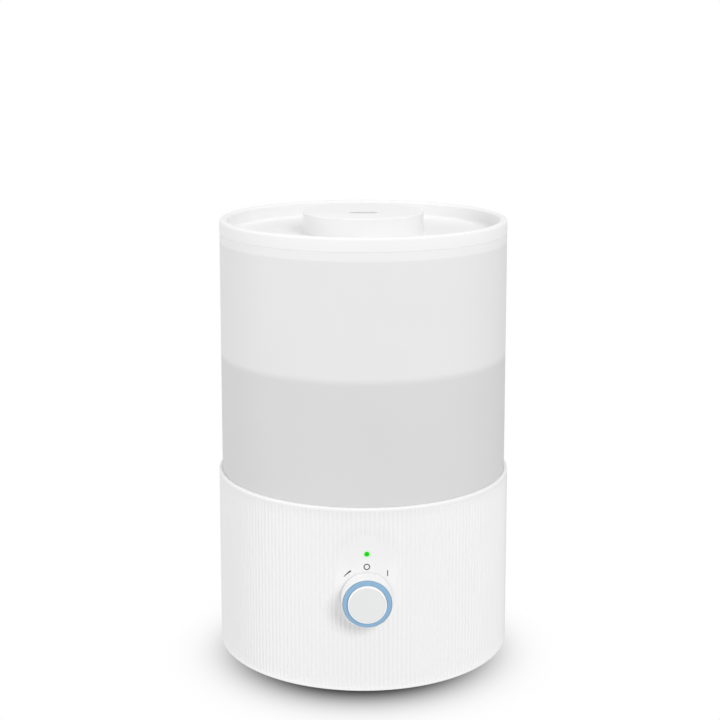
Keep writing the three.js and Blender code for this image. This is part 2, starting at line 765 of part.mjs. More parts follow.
// A cup with a groove for the ring, a seat for the cap, and a sleeve over the shaft.
function knobBody() {
  const sleeveR = 5.2;
  const sleeveBack = 87.7;
  return turned([
    [0, CAP_SEAT],
    [RING_R[0] - 0.05, CAP_SEAT],
    [RING_R[0] - 0.05, RING_SEAT],
    [RING_R[1] + GAP, RING_SEAT],
    [RING_R[1] + GAP, KNOB_FACE],
    [KNOB_R - 0.3, KNOB_FACE],
    [KNOB_R, KNOB_BACK],
    [9.5, KNOB_BACK],
    [9.5, 90.2],
    [sleeveR, 90.2],
    [sleeveR, sleeveBack],
    [SHAFT_R + GAP, sleeveBack],
    [SHAFT_R + GAP, 91.2],
    [0, 91.2],
  ], 24);
}

function knobCap() {
  return turned([
    [0, CAP_SEAT + GAP],
    [CAP_R, CAP_SEAT + GAP],
    [CAP_R, CAP_FACE - 0.7],
    [CAP_R - 0.7, CAP_FACE],
    [0, CAP_FACE],
  ], 24);
}

const knob = new THREE.Group();
knob.position.set(0, 0, KNOB_Z);
knob.rotation.x = Math.PI / 2;
humidifier.add(knob);
part("knob_body", knobBody(), WHITE, knob);
part("knob_ring", tube(...RING_R, RING_SEAT + GAP, KNOB_FACE + 0.2, 24), BLUE, knob);
part("knob_cap", knobCap(), PALE, knob);
part("pot_shaft", rod(SHAFT_R, POT_FRONT - 3.7, 90.9, MEDIUM), STEEL, knob);

// ---- power inlet at the back ----

function dcJack() {
  const half = 5.5;
  const body = block([-half, half], [-half, half], [70, 82.2]);
  const barrel = rod(4.6, 82, 85, MEDIUM);
  const bore = rod(3.2, 74, 85 + PAST, MEDIUM);
  return cut(join(body, barrel), bore);
}

const inlet = new THREE.Group();
inlet.position.set(0, 0, JACK_Z);
inlet.rotation.x = -Math.PI / 2;
humidifier.add(inlet);
part("dc_jack", dcJack(), BLACK, inlet);
part("dc_jack_pin", rod(0.9, 74 + GAP, 83.5), STEEL, inlet);

// ---- internal leads, each from its piece to the driver board ----

const LEAD_END = PART_Z + 0.6;
const LEAD_R = 1.3;
const LEAD_STEPS = 12;
const LEADS = {
  power_lead: [[0, 69.4, 14.5], [0, 60, 15], [12, 50, 20], [26, 38, 21], [28, 35, LEAD_END]],
  transducer_lead: [[3, 0, 60], [4, 0, 48], [14, 0, 34], [21, 0, 24], [22, 0, LEAD_END]],
  fan_lead: [[-12.1, 12, 8], [-4, 12, 9], [8, 12, 18], [17, 12, 19], [18, 12, LEAD_END]],
  control_lead: [[10, -65.6, 46], [12, -56, 44], [24, -40, 32], [35, -31, 22], [35, -30, LEAD_END]],
};
for (const [name, points] of Object.entries(LEADS)) {
  const path = points.map((point) => new THREE.Vector3(...point));
  part(name, swept(path, LEAD_R, LEAD_STEPS), BLACK);
}

export default humidifier;
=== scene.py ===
import json
import math

import bmesh
import bpy
from mathutils import Matrix, Vector


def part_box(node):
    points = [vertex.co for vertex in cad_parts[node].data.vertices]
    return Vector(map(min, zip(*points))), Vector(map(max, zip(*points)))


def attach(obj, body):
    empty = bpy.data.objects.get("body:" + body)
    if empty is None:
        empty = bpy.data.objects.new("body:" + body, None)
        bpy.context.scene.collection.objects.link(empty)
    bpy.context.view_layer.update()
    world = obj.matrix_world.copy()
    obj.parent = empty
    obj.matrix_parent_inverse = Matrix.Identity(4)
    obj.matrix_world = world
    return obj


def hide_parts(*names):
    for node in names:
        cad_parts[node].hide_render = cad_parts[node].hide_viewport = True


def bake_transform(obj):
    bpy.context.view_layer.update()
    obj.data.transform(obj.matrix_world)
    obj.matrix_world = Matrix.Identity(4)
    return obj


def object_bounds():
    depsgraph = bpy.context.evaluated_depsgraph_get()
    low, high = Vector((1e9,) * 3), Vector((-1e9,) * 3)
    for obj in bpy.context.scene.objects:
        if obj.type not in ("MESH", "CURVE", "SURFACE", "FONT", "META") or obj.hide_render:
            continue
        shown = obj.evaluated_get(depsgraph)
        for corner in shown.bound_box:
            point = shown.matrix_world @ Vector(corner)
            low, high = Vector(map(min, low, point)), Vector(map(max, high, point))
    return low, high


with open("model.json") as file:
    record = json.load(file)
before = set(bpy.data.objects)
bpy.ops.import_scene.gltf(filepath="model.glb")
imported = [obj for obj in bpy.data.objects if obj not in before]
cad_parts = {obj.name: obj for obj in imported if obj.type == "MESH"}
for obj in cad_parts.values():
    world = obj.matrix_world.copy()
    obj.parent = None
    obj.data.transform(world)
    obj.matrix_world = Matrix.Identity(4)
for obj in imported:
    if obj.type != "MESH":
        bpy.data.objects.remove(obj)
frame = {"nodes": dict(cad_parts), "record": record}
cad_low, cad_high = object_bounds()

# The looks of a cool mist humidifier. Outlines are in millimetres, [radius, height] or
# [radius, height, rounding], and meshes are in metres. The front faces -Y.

MM = 0.001
TURN = 2 * math.pi
BODY_SIDES = 180  # sides of a turned piece as wide as the body
PART_SIDES = 72
SMALL_SIDES = 36
SHARP_ANGLE = math.radians(32)

record = frame["record"]
BODY_OF = {node: body for body, nodes in record["behaviour"]["bodies"].items() for node in nodes}
SLOT_OF = {row["node"]: row["material_slot"] for row in record["subparts"]}


class Extent:
    """A CAD node's box in millimetres: its middle, top, bottom, front, back and radius across X."""

    def __init__(self, node):
        low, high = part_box(node)
        self.x = (low.x + high.x) / 2 / MM
        self.y = (low.y + high.y) / 2 / MM
        self.z = (low.z + high.z) / 2 / MM
        self.bottom = low.z / MM
        self.top = high.z / MM
        self.front = low.y / MM
        self.back = high.y / MM
        self.radius = (high.x - low.x) / 2 / MM


# ---- sizes ----

SHELL = Extent("base_shell")
COVER = Extent("bottom_cover")
TRAY = Extent("basin_tray")
TANK = Extent("tank_wall")
TANK_FLOOR = Extent("tank_floor")
CHIMNEY = Extent("mist_chimney")
CAGE = Extent("valve_cage")
PLUNGER = Extent("valve_plunger")
SPRING = Extent("valve_spring")
LID = Extent("lid_cover")
LINER = Extent("lid_liner")
NOZZLE = Extent("mist_nozzle")
SEAL = Extent("lid_seal")
GASKET = Extent("tank_gasket")
VALVE_SEAL = Extent("valve_seal")
KNOB = Extent("knob_body")
RING = Extent("knob_ring")
CAP = Extent("knob_cap")
LENS = Extent("led_lens")
JACK = Extent("dc_jack")
FLOAT = Extent("float_ring")
MAGNET = Extent("float_magnet")
FLOAT_CAP = Extent("float_cap")
FAN = Extent("fan_frame")
ROTOR = Extent("fan_rotor")
DUCT = Extent("air_duct")
PIEZO = Extent("transducer_disc")
RETAINER = Extent("transducer_retainer")
INDUCTOR = Extent("driver_inductor")
CAPACITOR = Extent("driver_capacitor")
GAP = 0.3  # between neighbouring pieces

SHELL_TAPER = 0.5  # the shell's top is this much smaller in radius than its bottom
SHELL_WALL = 2.3
TANK_TAPER = 0.7
TANK_WALL = 2.4
NEST_R = 82.76  # inside the shell's mouth, round the tank
FLUTES = 212
FLUTE_DEPTH = 0.65
FLUTE_COLUMNS = 4  # mesh columns to a flute
LIP = 1.7  # plain band above the flutes
HEEL = 0.9  # plain band below them
PATCH_RADIUS = 17.0  # the smooth patch round the knob, the marks and the indicator
PATCH_FADE = 2.5
PATCH_TOP = LENS.z - 4
PATCH_CLIMB = 30  # the patch narrows over this height above the knob
PATCH_NARROWING = 0.25
PATCH_DEPTH = 0.35  # how deep the patch lies, as a share of the flutes
JACK_PATCH_R = 9
JACK_PATCH_FADE = 2
LENS_R = 1.3
PAINTED_GLOW_SPREAD = 1.7  # how far the painted green glow of the indicator reaches on the shell round it
LENS_SEAT = 73.8  # the light guide's inner end, from the axis
KNOB_SIDES = 96
KNOB_SKIRT = 1.1  # how much closer to the wall the knob's fine back edge comes
KNOB_WALL_R = 9.5  # inside the knob's skirt
KNOB_CEILING = 90.2
KNOB_BOSS_R = 5.2
KNOB_BOSS_BACK = 87.7
KNOB_BORE_R = 3.3
KNOB_BORE_END = 91.2
RING_IN_R = 10.65
RING_OUT_R = 13.2
FACE_R = 9.75  # the knob's pale face, inside its white rim
WATER_LEVEL = 173.6
WATER_EDGE = 2.6  # half the height over which the water's tone fades out behind the frosting
LID_SEAM = TANK.top + GAP  # between the lid and the tank
SEAM_HALF = 0.01
RIM_IN_R = 77.4
RIM_TOP = 250.9
DISH_FLOOR = 241.7
HUB_R = 34.3
LID_T = 2.2
SLOT_Y = next(
    sum(y for _, y, _ in row["box_m"]) / 2 / MM
    for row in record["physics"]["openings"]
    if row["name"] == "mist_slot"
)
SKIRT_IN_R = 76.5
SKIRT_OUT_R = 79.2
SEAL_GROOVE_R = 77.9
NOZZLE_R = 22.6

TRAY_FLOOR = 84.0
TRAY_T = 2.2
TRAY_IN_R = 76.5
TRAY_RIM = TANK.bottom - GAP  # top of the flange that the tank's wall stands over
SUMP_R = 22.0
SUMP_FLOOR = 68.0
WINDOW_R = 8.5  # the hole in the sump's floor, over the transducer
SEAT_R = 12.8  # the transducer seal's seat
PIN_TOP = 93.0
STEM_R = 2.0  # the valve plunger's stem
POST_TOP = FLOAT_CAP.bottom - GAP
COLLAR_TOP = 95.0
COLLAR_R = 12.2
AIRWAY_R = 10.2
RETAINER_SCREW_R = 17.5
RETAINER_ANGLES = (90, 210, 330)

COVER_T = 2.4
POST_FOOT = 2.0  # where posts start, inside the cover
BOSS_R = 74.0  # cover screws, from the axis
BOSS_ANGLES = (45, 135, 225, 315)
BOSS_TOP = 26.0
FOOT_R = 72.0  # feet, from the axis
FOOT_ANGLES = (0, 90, 180, 270)
FOOT_SEAT = 1.2
FAN_HOLE = 20.0  # screw holes, from the fan's middle
VENT_PITCH = 6.0
BOARD_POSTS = [(x, y) for x in (18, 56) for y in (-36, 36)]


def clamped(value):
    return min(max(value, 0), 1)


def shell_radius(z):
    return SHELL.radius - SHELL_TAPER * clamped(z / SHELL.top)


# ---- meshes ----

def rounded(points, steps=5):
    """The outline with each corner that states a rounding turned into an arc."""
    outline = []
    for i, point in enumerate(points):
        if len(point) < 3 or not point[2]:
            outline.append((point[0], point[1]))
            continue
        corner = Vector(point[:2])
        before = Vector(points[i - 1][:2]) - corner
        after = Vector(points[(i + 1) % len(points)][:2]) - corner
        half = before.angle(after) / 2
        reach = min(point[2] / math.tan(half), 0.49 * before.length, 0.49 * after.length)
        radius = reach * math.tan(half)
        before.normalize()
        after.normalize()
        centre = corner + (before + after).normalized() * radius / math.sin(half)
        start = corner + before * reach - centre
        end = corner + after * reach - centre
        sweep = start.angle_signed(end)
        for step in range(steps + 1):
            angle = -sweep * step / steps
            x = start.x * math.cos(angle) - start.y * math.sin(angle)
            y = start.x * math.sin(angle) + start.y * math.cos(angle)
            outline.append((centre.x + x, centre.y + y))
    return outline


def new_object(name, bm):
    """A mesh object in metres from a bmesh in millimetres, smooth but for its sharp edges."""
    bmesh.ops.remove_doubles(bm, verts=bm.verts, dist=1e-5)
    bmesh.ops.recalc_face_normals(bm, faces=bm.faces)
    bmesh.ops.scale(bm, vec=(MM, MM, MM), verts=bm.verts)
    mesh = bpy.data.meshes.new(name)
    bm.to_mesh(mesh)
    bm.free()
    piece = bpy.data.objects.new(name, mesh)
    bpy.context.scene.collection.objects.link(piece)
    smooth(piece)
    return piece


def smooth(piece):
    piece.data.polygons.foreach_set("use_smooth", [True] * len(piece.data.polygons))
    piece.data.set_sharp_from_angle(angle=SHARP_ANGLE)
    return piece


def even_shading(piece):
    """Keeps broad flat faces flat beside small roundings."""
    normals = piece.modifiers.new("normals", "WEIGHTED_NORMAL")
    normals.keep_sharp = True
    normals.weight = 80
    return piece


def lathe_mesh(outline, sides, closed=True):
    bm = bmesh.new()
    rings = []
    for r, z in outline:
        if r < 1e-6:
            rings.append([bm.verts.new((0, 0, z))])
            continue
        ring = []
        for i in range(sides):
            angle = TURN * i / sides
            ring.append(bm.verts.new((r * math.cos(angle), r * math.sin(angle), z)))
        rings.append(ring)
    pairs = list(zip(rings, rings[1:]))
    if closed and len(rings[0]) > 1 and len(rings[-1]) > 1:
        pairs.append((rings[-1], rings[0]))
    for a, b in pairs:
        for i in range(sides):
            j = (i + 1) % sides
            corners = [a[i % len(a)], a[j % len(a)], b[j % len(b)], b[i % len(b)]]
            corners = list(dict.fromkeys(corners))
            if len(corners) > 2:
                bm.faces.new(corners)
    return bm


def lathe(name, points, sides=PART_SIDES, at=(0, 0), steps=5):
    """A turned piece about a vertical line through at."""
    bm = lathe_mesh(rounded(points, steps), sides)
    bmesh.ops.translate(bm, vec=(at[0], at[1], 0), verts=bm.verts)
    return even_shading(new_object(name, bm))


def front_lathe(name, points, z, sides=PART_SIDES, back=False, steps=5):
    """A turned piece about a level line at height z, whose heights point out of the front or the back."""
    bm = lathe_mesh(rounded(points, steps), sides)
    facing = -1 if back else 1
    for vert in bm.verts:
        x, y, out = vert.co
        vert.co = (x, -facing * out, z + facing * y)
    return even_shading(new_object(name, bm))


def extruded(name, outline, low, high):
    """A flat outline of (x, y) points, from height low to height high."""
    bm = bmesh.new()
    bottom = [bm.verts.new((x, y, low)) for x, y in outline]
    top = [bm.verts.new((x, y, high)) for x, y in outline]
    bm.faces.new(bottom)
    bm.faces.new(top)
    for i in range(len(outline)):
        j = (i + 1) % len(outline)
        bm.faces.new((bottom[i], bottom[j], top[j], top[i]))
    return new_object(name, bm)


def stadium(width, depth, x=0, y=0, steps=10):
    """An outline with round ends, long in X."""
    radius = depth / 2
    reach = width / 2 - radius
    points = []
    for side in (1, -1):
        for step in range(steps + 1):
            angle = -math.pi / 2 + math.pi * step / steps + (0 if side > 0 else math.pi)
            points.append((x + side * reach + radius * math.cos(angle), y + radius * math.sin(angle)))
    return points


def circle(radius, x=0, y=0, sides=SMALL_SIDES):
    return [
        (x + radius * math.cos(TURN * i / sides), y + radius * math.sin(TURN * i / sides))
        for i in range(sides)
    ]


def carved(piece, *tools, operation="DIFFERENCE"):
    """The piece with the tools cut out of it, or joined to it. The tools are used up."""
    for tool in tools:
        step = piece.modifiers.new("step", "BOOLEAN")
        step.operation = operation
        step.solver = "EXACT"
        step.object = tool
        while piece.modifiers[0] != step:
            piece.modifiers.move(piece.modifiers.find(step.name), 0)
        kept = [m for m in piece.modifiers if m != step]
        shown = [m.show_viewport for m in kept]
        for modifier in kept:
            modifier.show_viewport = False
        depsgraph = bpy.context.evaluated_depsgraph_get()
        mesh = bpy.data.meshes.new_from_object(piece.evaluated_get(depsgraph))
        for modifier, was_shown in zip(kept, shown):
            modifier.show_viewport = was_shown
        piece.modifiers.remove(step)
        piece.data = mesh
        bpy.data.objects.remove(tool)
    return smooth(piece)


def gathered(*pieces):
    """The pieces, which don't overlap, as one object."""
    bm = bmesh.new()
    for piece in pieces:
        bm.from_mesh(piece.data)
    bm.to_mesh(pieces[0].data)
    bm.free()
    for piece in pieces[1:]:
        bpy.data.objects.remove(piece)
    return pieces[0]


def block(name, x, y, z):
    """A box from one (low, high) pair for each axis, for cutting with or joining on."""
    return extruded(name, [(x[0], y[0]), (x[1], y[0]), (x[1], y[1]), (x[0], y[1])], *z)


def rod(name, radius, low, high, at=(0, 0), sides=SMALL_SIDES):
    return extruded(name, circle(radius, *at, sides), low, high)


def on_circle(radius, degrees):
    angle = math.radians(degrees)
    return (radius * math.cos(angle), radius * math.sin(angle))


def welded(node):
    """A CAD node whose faces share their corners, ready for other modifiers."""
    piece = frame["nodes"][node]
    weld = piece.modifiers.new("weld", "WELD")
    weld.merge_threshold = 0.002 * MM
    return piece


def eased(node, width):
    """A CAD node with its sharp edges rounded."""
    return bevelled(welded(node), width, 2)


def bevelled(piece, width, segments=3):
    bevel = piece.modifiers.new("bevel", "BEVEL")
    bevel.width = width * MM
    bevel.segments = segments
    bevel.limit_method = "ANGLE"
    bevel.angle_limit = SHARP_ANGLE
    bevel.harden_normals = True
    return piece


# ---- materials ----

def node_material(name):
    material = bpy.data.materials.new(name)
    material.use_nodes = True
    tree = material.node_tree
    return material, tree, tree.nodes["Principled BSDF"]


def add(tree, kind, inputs=None, **settings):
    node = tree.nodes.new(kind)
    for key, value in settings.items():
        setattr(node, key, value)
    for key, value in (inputs or {}).items():
        if isinstance(value, bpy.types.NodeSocket):
            tree.links.new(value, node.inputs[key])
        else:
            node.inputs[key].default_value = value
    return node


def object_noise(tree, scale, detail=3.0, stretch=(1, 1, 1)):
    """Noise fixed to the piece, with scale lumps to the metre."""
    place = add(tree, "ShaderNodeTexCoord")
    stretched = add(tree, "ShaderNodeMapping", {"Vector": place.outputs["Object"], "Scale": stretch})
    return add(
        tree,
        "ShaderNodeTexNoise",
        {"Vector": stretched.outputs["Vector"], "Scale": scale, "Detail": detail},
    )


def tone(tree, factor, low, high):
    """Low where the noise is weak, high where it is strong."""
    ends = {"From Min": 0.3, "From Max": 0.7, "To Min": low, "To Max": high}
    return add(tree, "ShaderNodeMapRange", {"Value": factor, **ends}).outputs["Result"]


def blended(tree, factor, first, second):
    mix = add(tree, "ShaderNodeMix", data_type="RGBA")
    tree.links.new(factor, mix.inputs["Factor"])
    for socket, value in ((mix.inputs[6], first), (mix.inputs[7], second)):
        if isinstance(value, bpy.types.NodeSocket):
            tree.links.new(value, socket)
        else:
            socket.default_value = value
    return mix.outputs[2]


def shade(colour, factor):
    return (*(min(c * factor, 1) for c in colour), 1)


def rising(tree, value, start, end):
    """0 up to start and 1 from end on, both in millimetres, with a smooth step between."""
    ends = {"From Min": start * MM, "From Max": end * MM}
    step = add(tree, "ShaderNodeMapRange", {"Value": value, **ends}, interpolation_type="SMOOTHSTEP")
    return step.outputs["Result"]


def relief(tree, surface, height, strength, depth):
    """Roughens the surface by up to depth millimetres."""
    bump = add(tree, "ShaderNodeBump", {"Height": height, "Strength": strength, "Distance": depth * MM})
    tree.links.new(bump.outputs["Normal"], surface.inputs["Normal"])


def base_colour(surface):
    """The socket that the surface's colour comes from."""
    return surface.inputs["Base Color"].links[0].from_socket


def finish(name, colour, roughness, variation=0.02, depth=0.012, metallic=0.0, stretch=(1, 1, 1),
           **sockets):
    """A moulded or worked surface: cloudy tone, uneven gloss and a fine grain."""
    material, tree, surface = node_material(name)
    clouds = object_noise(tree, 25, 4, stretch)
    level = tone(tree, clouds.outputs["Fac"], 0, 1)
    mottled = blended(tree, level, shade(colour, 1 - variation), shade(colour, 1 + variation))
    tree.links.new(mottled, surface.inputs["Base Color"])
    grain = object_noise(tree, 1500, 2, stretch)
    gloss = tone(tree, grain.outputs["Fac"], roughness - 0.05, roughness + 0.05)
    tree.links.new(gloss, surface.inputs["Roughness"])
    relief(tree, surface, grain.outputs["Fac"], 0.35, depth)
    surface.inputs["Metallic"].default_value = metallic
    for socket, value in sockets.items():
        surface.inputs[socket.replace("_", " ")].default_value = value
    return material


def shell_finish_painted_shade_and_glow():
    """The shell's white, darker as painted shade round the indicator where the marks are, with a painted
    green glow of the indicator close round it.
    """
    material = finish("satin_white_base_painted_shade_and_glow", SHELL_WHITE, 0.45, variation=0.006, Specular_IOR_Level=0.35)
    tree = material.node_tree
    surface = tree.nodes["Principled BSDF"]
    place = add(tree, "ShaderNodeTexCoord")
    lamp = (0, -SHELL.radius * MM, LENS.z * MM)
    reach = add(tree, "ShaderNodeVectorMath", {0: place.outputs["Object"], 1: lamp}, operation="DISTANCE")
    # painted shade: within 10 to 20 mm of the indicator the white is darker
    fluted = rising(tree, reach.outputs["Value"], 10, 20)
    plain = blended(tree, fluted, (*PATCH_PAINTED_SHADE, 1), base_colour(surface))
    # painted light: a green glow of the indicator on the shell close round the lens
    past_painted_glow = rising(tree, reach.outputs["Value"], LENS_R, LENS_R + PAINTED_GLOW_SPREAD)
    shell_with_painted_glow = blended(tree, past_painted_glow, (*PAINTED_LAMP_GLOW, 1), plain)
    tree.links.new(shell_with_painted_glow, surface.inputs["Base Color"])
    return material


def lid_finish_painted_shade():
    """The lid's white, with painted shade: a darker white on the upright walls inside the rim."""
    material = finish("satin_white_lid_painted_shade", LID_WHITE, 0.6, variation=0.004, Specular_IOR_Level=0.2)
    tree = material.node_tree
    surface = tree.nodes["Principled BSDF"]
    place = add(tree, "ShaderNodeTexCoord")
    flat = {0: place.outputs["Object"], 1: (1, 1, 0)}
    level = add(tree, "ShaderNodeVectorMath", flat, operation="MULTIPLY")
    reach = add(tree, "ShaderNodeVectorMath", {0: level.outputs["Vector"]}, operation="LENGTH")
    inner = HUB_R - 3
    outer = LID.radius - 1.8
    band = {0: reach.outputs["Value"], 1: (outer + inner) / 2 * MM, 2: (outer - inner) / 2 * MM}
    dish = add(tree, "ShaderNodeMath", band, operation="COMPARE")
    slope = add(tree, "ShaderNodeSeparateXYZ", {"Vector": place.outputs["Normal"]}).outputs["Z"]
    upright = add(tree, "ShaderNodeMapRange", {"Value": slope, "From Min": 0.9, "From Max": 0.1})
    both = {0: dish.outputs["Value"], 1: upright.outputs["Result"]}
    # painted shade: the upright walls between the hub and the rim get a darker white
    wall = add(tree, "ShaderNodeMath", both, operation="MULTIPLY")
    lid_with_painted_shade = blended(tree, wall.outputs["Value"], base_colour(surface), (*LID_WALL_PAINTED_SHADE, 1))
    tree.links.new(lid_with_painted_shade, surface.inputs["Base Color"])
    return material


def frosted_finish():
    """Frosted polypropylene: lighter at the rim, greyer where water stands behind it."""
    material, tree, surface = node_material("frosted_polypropylene")
    place = add(tree, "ShaderNodeTexCoord")
    height = add(tree, "ShaderNodeSeparateXYZ", {"Vector": place.outputs["Object"]}).outputs["Z"]
    dry = rising(tree, height, WATER_LEVEL - WATER_EDGE, WATER_LEVEL + WATER_EDGE)
    body = blended(tree, dry, (*TANK_WET, 1), (*TANK_DRY, 1))
    rim = rising(tree, height, LID.bottom - 0.9, LID.bottom + 0.5)
    full = blended(tree, rim, body, (*TANK_RIM, 1))
    clouds = object_noise(tree, 18, 5)
    level = tone(tree, clouds.outputs["Fac"], 0.99, 1.01)
    mottled = add(tree, "ShaderNodeVectorMath", {0: full, "Scale": level}, operation="SCALE")
    tree.links.new(mottled.outputs["Vector"], surface.inputs["Base Color"])
    grain = object_noise(tree, 2200, 2)
    gloss = tone(tree, grain.outputs["Fac"], 0.42, 0.52)
    tree.links.new(gloss, surface.inputs["Roughness"])
    relief(tree, surface, grain.outputs["Fac"], 0.3, 0.02)
    surface.inputs["Transmission Weight"].default_value = 0.12
    surface.inputs["IOR"].default_value = 1.49
    surface.inputs["Specular IOR Level"].default_value = 0.35
    return material


def water_finish():
    material, tree, surface = node_material("still_water")
    ripple = object_noise(tree, 60, 2)
    relief(tree, surface, ripple.outputs["Fac"], 0.1, 0.05)
    tint = tone(tree, ripple.outputs["Fac"], 0, 1)
    clear = blended(tree, tint, (0.93, 0.96, 0.97, 1), (0.95, 0.98, 0.99, 1))
    tree.links.new(clear, surface.inputs["Base Color"])
    surface.inputs["Roughness"].default_value = 0.02
    surface.inputs["IOR"].default_value = 1.33
    surface.inputs["Transmission Weight"].default_value = 1.0
    return material


def board_finish():
    """Solder mask over fine copper tracks, laid the same way on a level board and an upright one."""
    material, tree, surface = node_material("solder_mask")
    object_place = add(tree, "ShaderNodeTexCoord").outputs["Object"]
    place = add(tree, "ShaderNodeSeparateXYZ", {"Vector": object_place})
    rise = add(tree, "ShaderNodeMath", {0: place.outputs["Y"], 1: place.outputs["Z"]}, operation="ADD")
    laid = add(tree, "ShaderNodeCombineXYZ", {"X": place.outputs["X"], "Y": rise.outputs["Value"]})
    tracks = add(tree, "ShaderNodeTexBrick", {
        "Vector": laid.outputs["Vector"],
        "Scale": 160,
        "Color1": (0.03, 0.17, 0.07, 1),
        "Color2": (0.035, 0.19, 0.08, 1),
        "Mortar": (0.08, 0.33, 0.15, 1),
        "Mortar Size": 0.06,
    })
    tree.links.new(tracks.outputs["Color"], surface.inputs["Base Color"])
    relief(tree, surface, tracks.outputs["Fac"], 0.5, 0.03)
    surface.inputs["Roughness"].default_value = 0.32
    return material


TANK_DRY = (0.85, 0.85, 0.85)
TANK_WET = (0.742, 0.742, 0.742)
TANK_RIM = (0.92, 0.92, 0.92)
SHELL_WHITE = (0.862, 0.862, 0.862)
# painted shade on the smooth patch round the indicator
PATCH_PAINTED_SHADE = (0.83, 0.83, 0.83)
LID_WHITE = (0.84, 0.84, 0.84)
# painted shade on the upright walls inside the lid's dish
LID_WALL_PAINTED_SHADE = (0.8, 0.8, 0.8)
# painted green glow of the indicator on the shell
PAINTED_LAMP_GLOW = (0.66, 0.89, 0.62)

FINISHES = {
    "white_shell": finish("satin_white", SHELL_WHITE, 0.45, variation=0.006, Specular_IOR_Level=0.35),
    "inner_white": finish("moulded_white", (0.7, 0.705, 0.71), 0.5, variation=0.01),
    "frosted_tank": frosted_finish(),
    "silicone": finish("silicone", (0.62, 0.65, 0.67), 0.6, variation=0.03, depth=0.03),
    "rubber_foot": finish("rubber", (0.035, 0.036, 0.038), 0.8, variation=0.12, depth=0.05),
    "knob_blue": finish("satin_blue", (0.25, 0.44, 0.635), 0.38, variation=0.015),
    "knob_pale": finish("satin_pale", (0.77, 0.78, 0.775), 0.42, variation=0.008),
    "float_blue": finish("float_foam", (0.26, 0.46, 0.66), 0.62, variation=0.05, depth=0.05),
    "green_lens": finish(
        "lit_green", (0.0, 0.1, 0.0), 0.3, variation=0.1, Specular_IOR_Level=0.12,
        Emission_Color=(0.0, 1.0, 0.0, 1), Emission_Strength=0.58,
    ),
    "black_plastic": finish("black_plastic", (0.018, 0.019, 0.021), 0.5, variation=0.1, depth=0.03),
    "steel": finish(
        "zinc_plate", (0.56, 0.57, 0.58), 0.3, variation=0.06, metallic=1.0, stretch=(1, 1, 14),
    ),
    "brass": finish("brass", (0.72, 0.5, 0.2), 0.32, variation=0.06, metallic=1.0),
    "aluminium": finish(
        "extruded_aluminium", (0.62, 0.63, 0.64), 0.38, variation=0.05, metallic=1.0,
        stretch=(8, 8, 1),
    ),
    "ceramic": finish("glazed_ceramic", (0.66, 0.58, 0.42), 0.28, variation=0.03),
    "board_green": board_finish(),
}
SHELL_FINISH_PAINTED_SHADE_AND_GLOW = shell_finish_painted_shade_and_glow()
LID_FINISH_PAINTED_SHADE = lid_finish_painted_shade()
CAP_RIM_FINISH = finish("satin_white_rim", (0.94, 0.94, 0.94), 0.4, variation=0.004)
INK = finish("grey_ink", (0.06, 0.06, 0.062), 0.6, variation=0.08, Specular_IOR_Level=0.3)
WATER = water_finish()


def coated(piece, material):
    piece.data.materials.clear()
    piece.data.materials.append(material)
    return piece


def settle(piece, node, material=None):
    """Rides the piece with its node's body, gives it its finish, and shows it in its place."""
    slot = SLOT_OF[node]
    coated(piece, material or FINISHES[slot])
    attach(piece, BODY_OF[node])
    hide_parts(node)


# ---- base shell ----

def patch_share(x, z):
    """1 on the flutes, 0 on the smooth patch round the knob, marks and indicator."""
    reach = math.hypot(x, z - min(max(z, KNOB.z), PATCH_TOP))
    radius = PATCH_RADIUS * (1 - PATCH_NARROWING * clamped((z - KNOB.z) / PATCH_CLIMB))
    return clamped((reach - radius) / PATCH_FADE)


def jack_share(x, z):
    """The same round the inlet."""
    reach = math.hypot(x, z - JACK.z)
    return clamped((reach - JACK_PATCH_R) / JACK_PATCH_FADE)


def flute_depth(angle, z):
    """How far the wall is drawn in at that angle and height."""
    ends = min(clamped((z - HEEL) / 1.2), clamped(SHELL.top - LIP - z))
    x = SHELL.radius * math.cos(angle)
    share = patch_share(x, z) if math.sin(angle) < 0 else jack_share(x, z)
    share = share * share * (3 - 2 * share)
    wave = 0.5 - 0.5 * math.cos(FLUTES * angle)
    return FLUTE_DEPTH * (PATCH_DEPTH + (wave - PATCH_DEPTH) * share) * ends


def shell_rows():
    """Heights of the mesh's rows between heel and crown, closer where the patch is."""
    rows = [HEEL, HEEL + 0.6, HEEL + 1.2, 6, 10.5, 15, 19.5, 24, 28, 32]
    z = 35.0
    while z < LENS.z + 14:
        rows.append(z)
        z += 1.5
    top = SHELL.top - LIP
    rows += [97, top - 1.0, top - 0.5, top]
    return rows


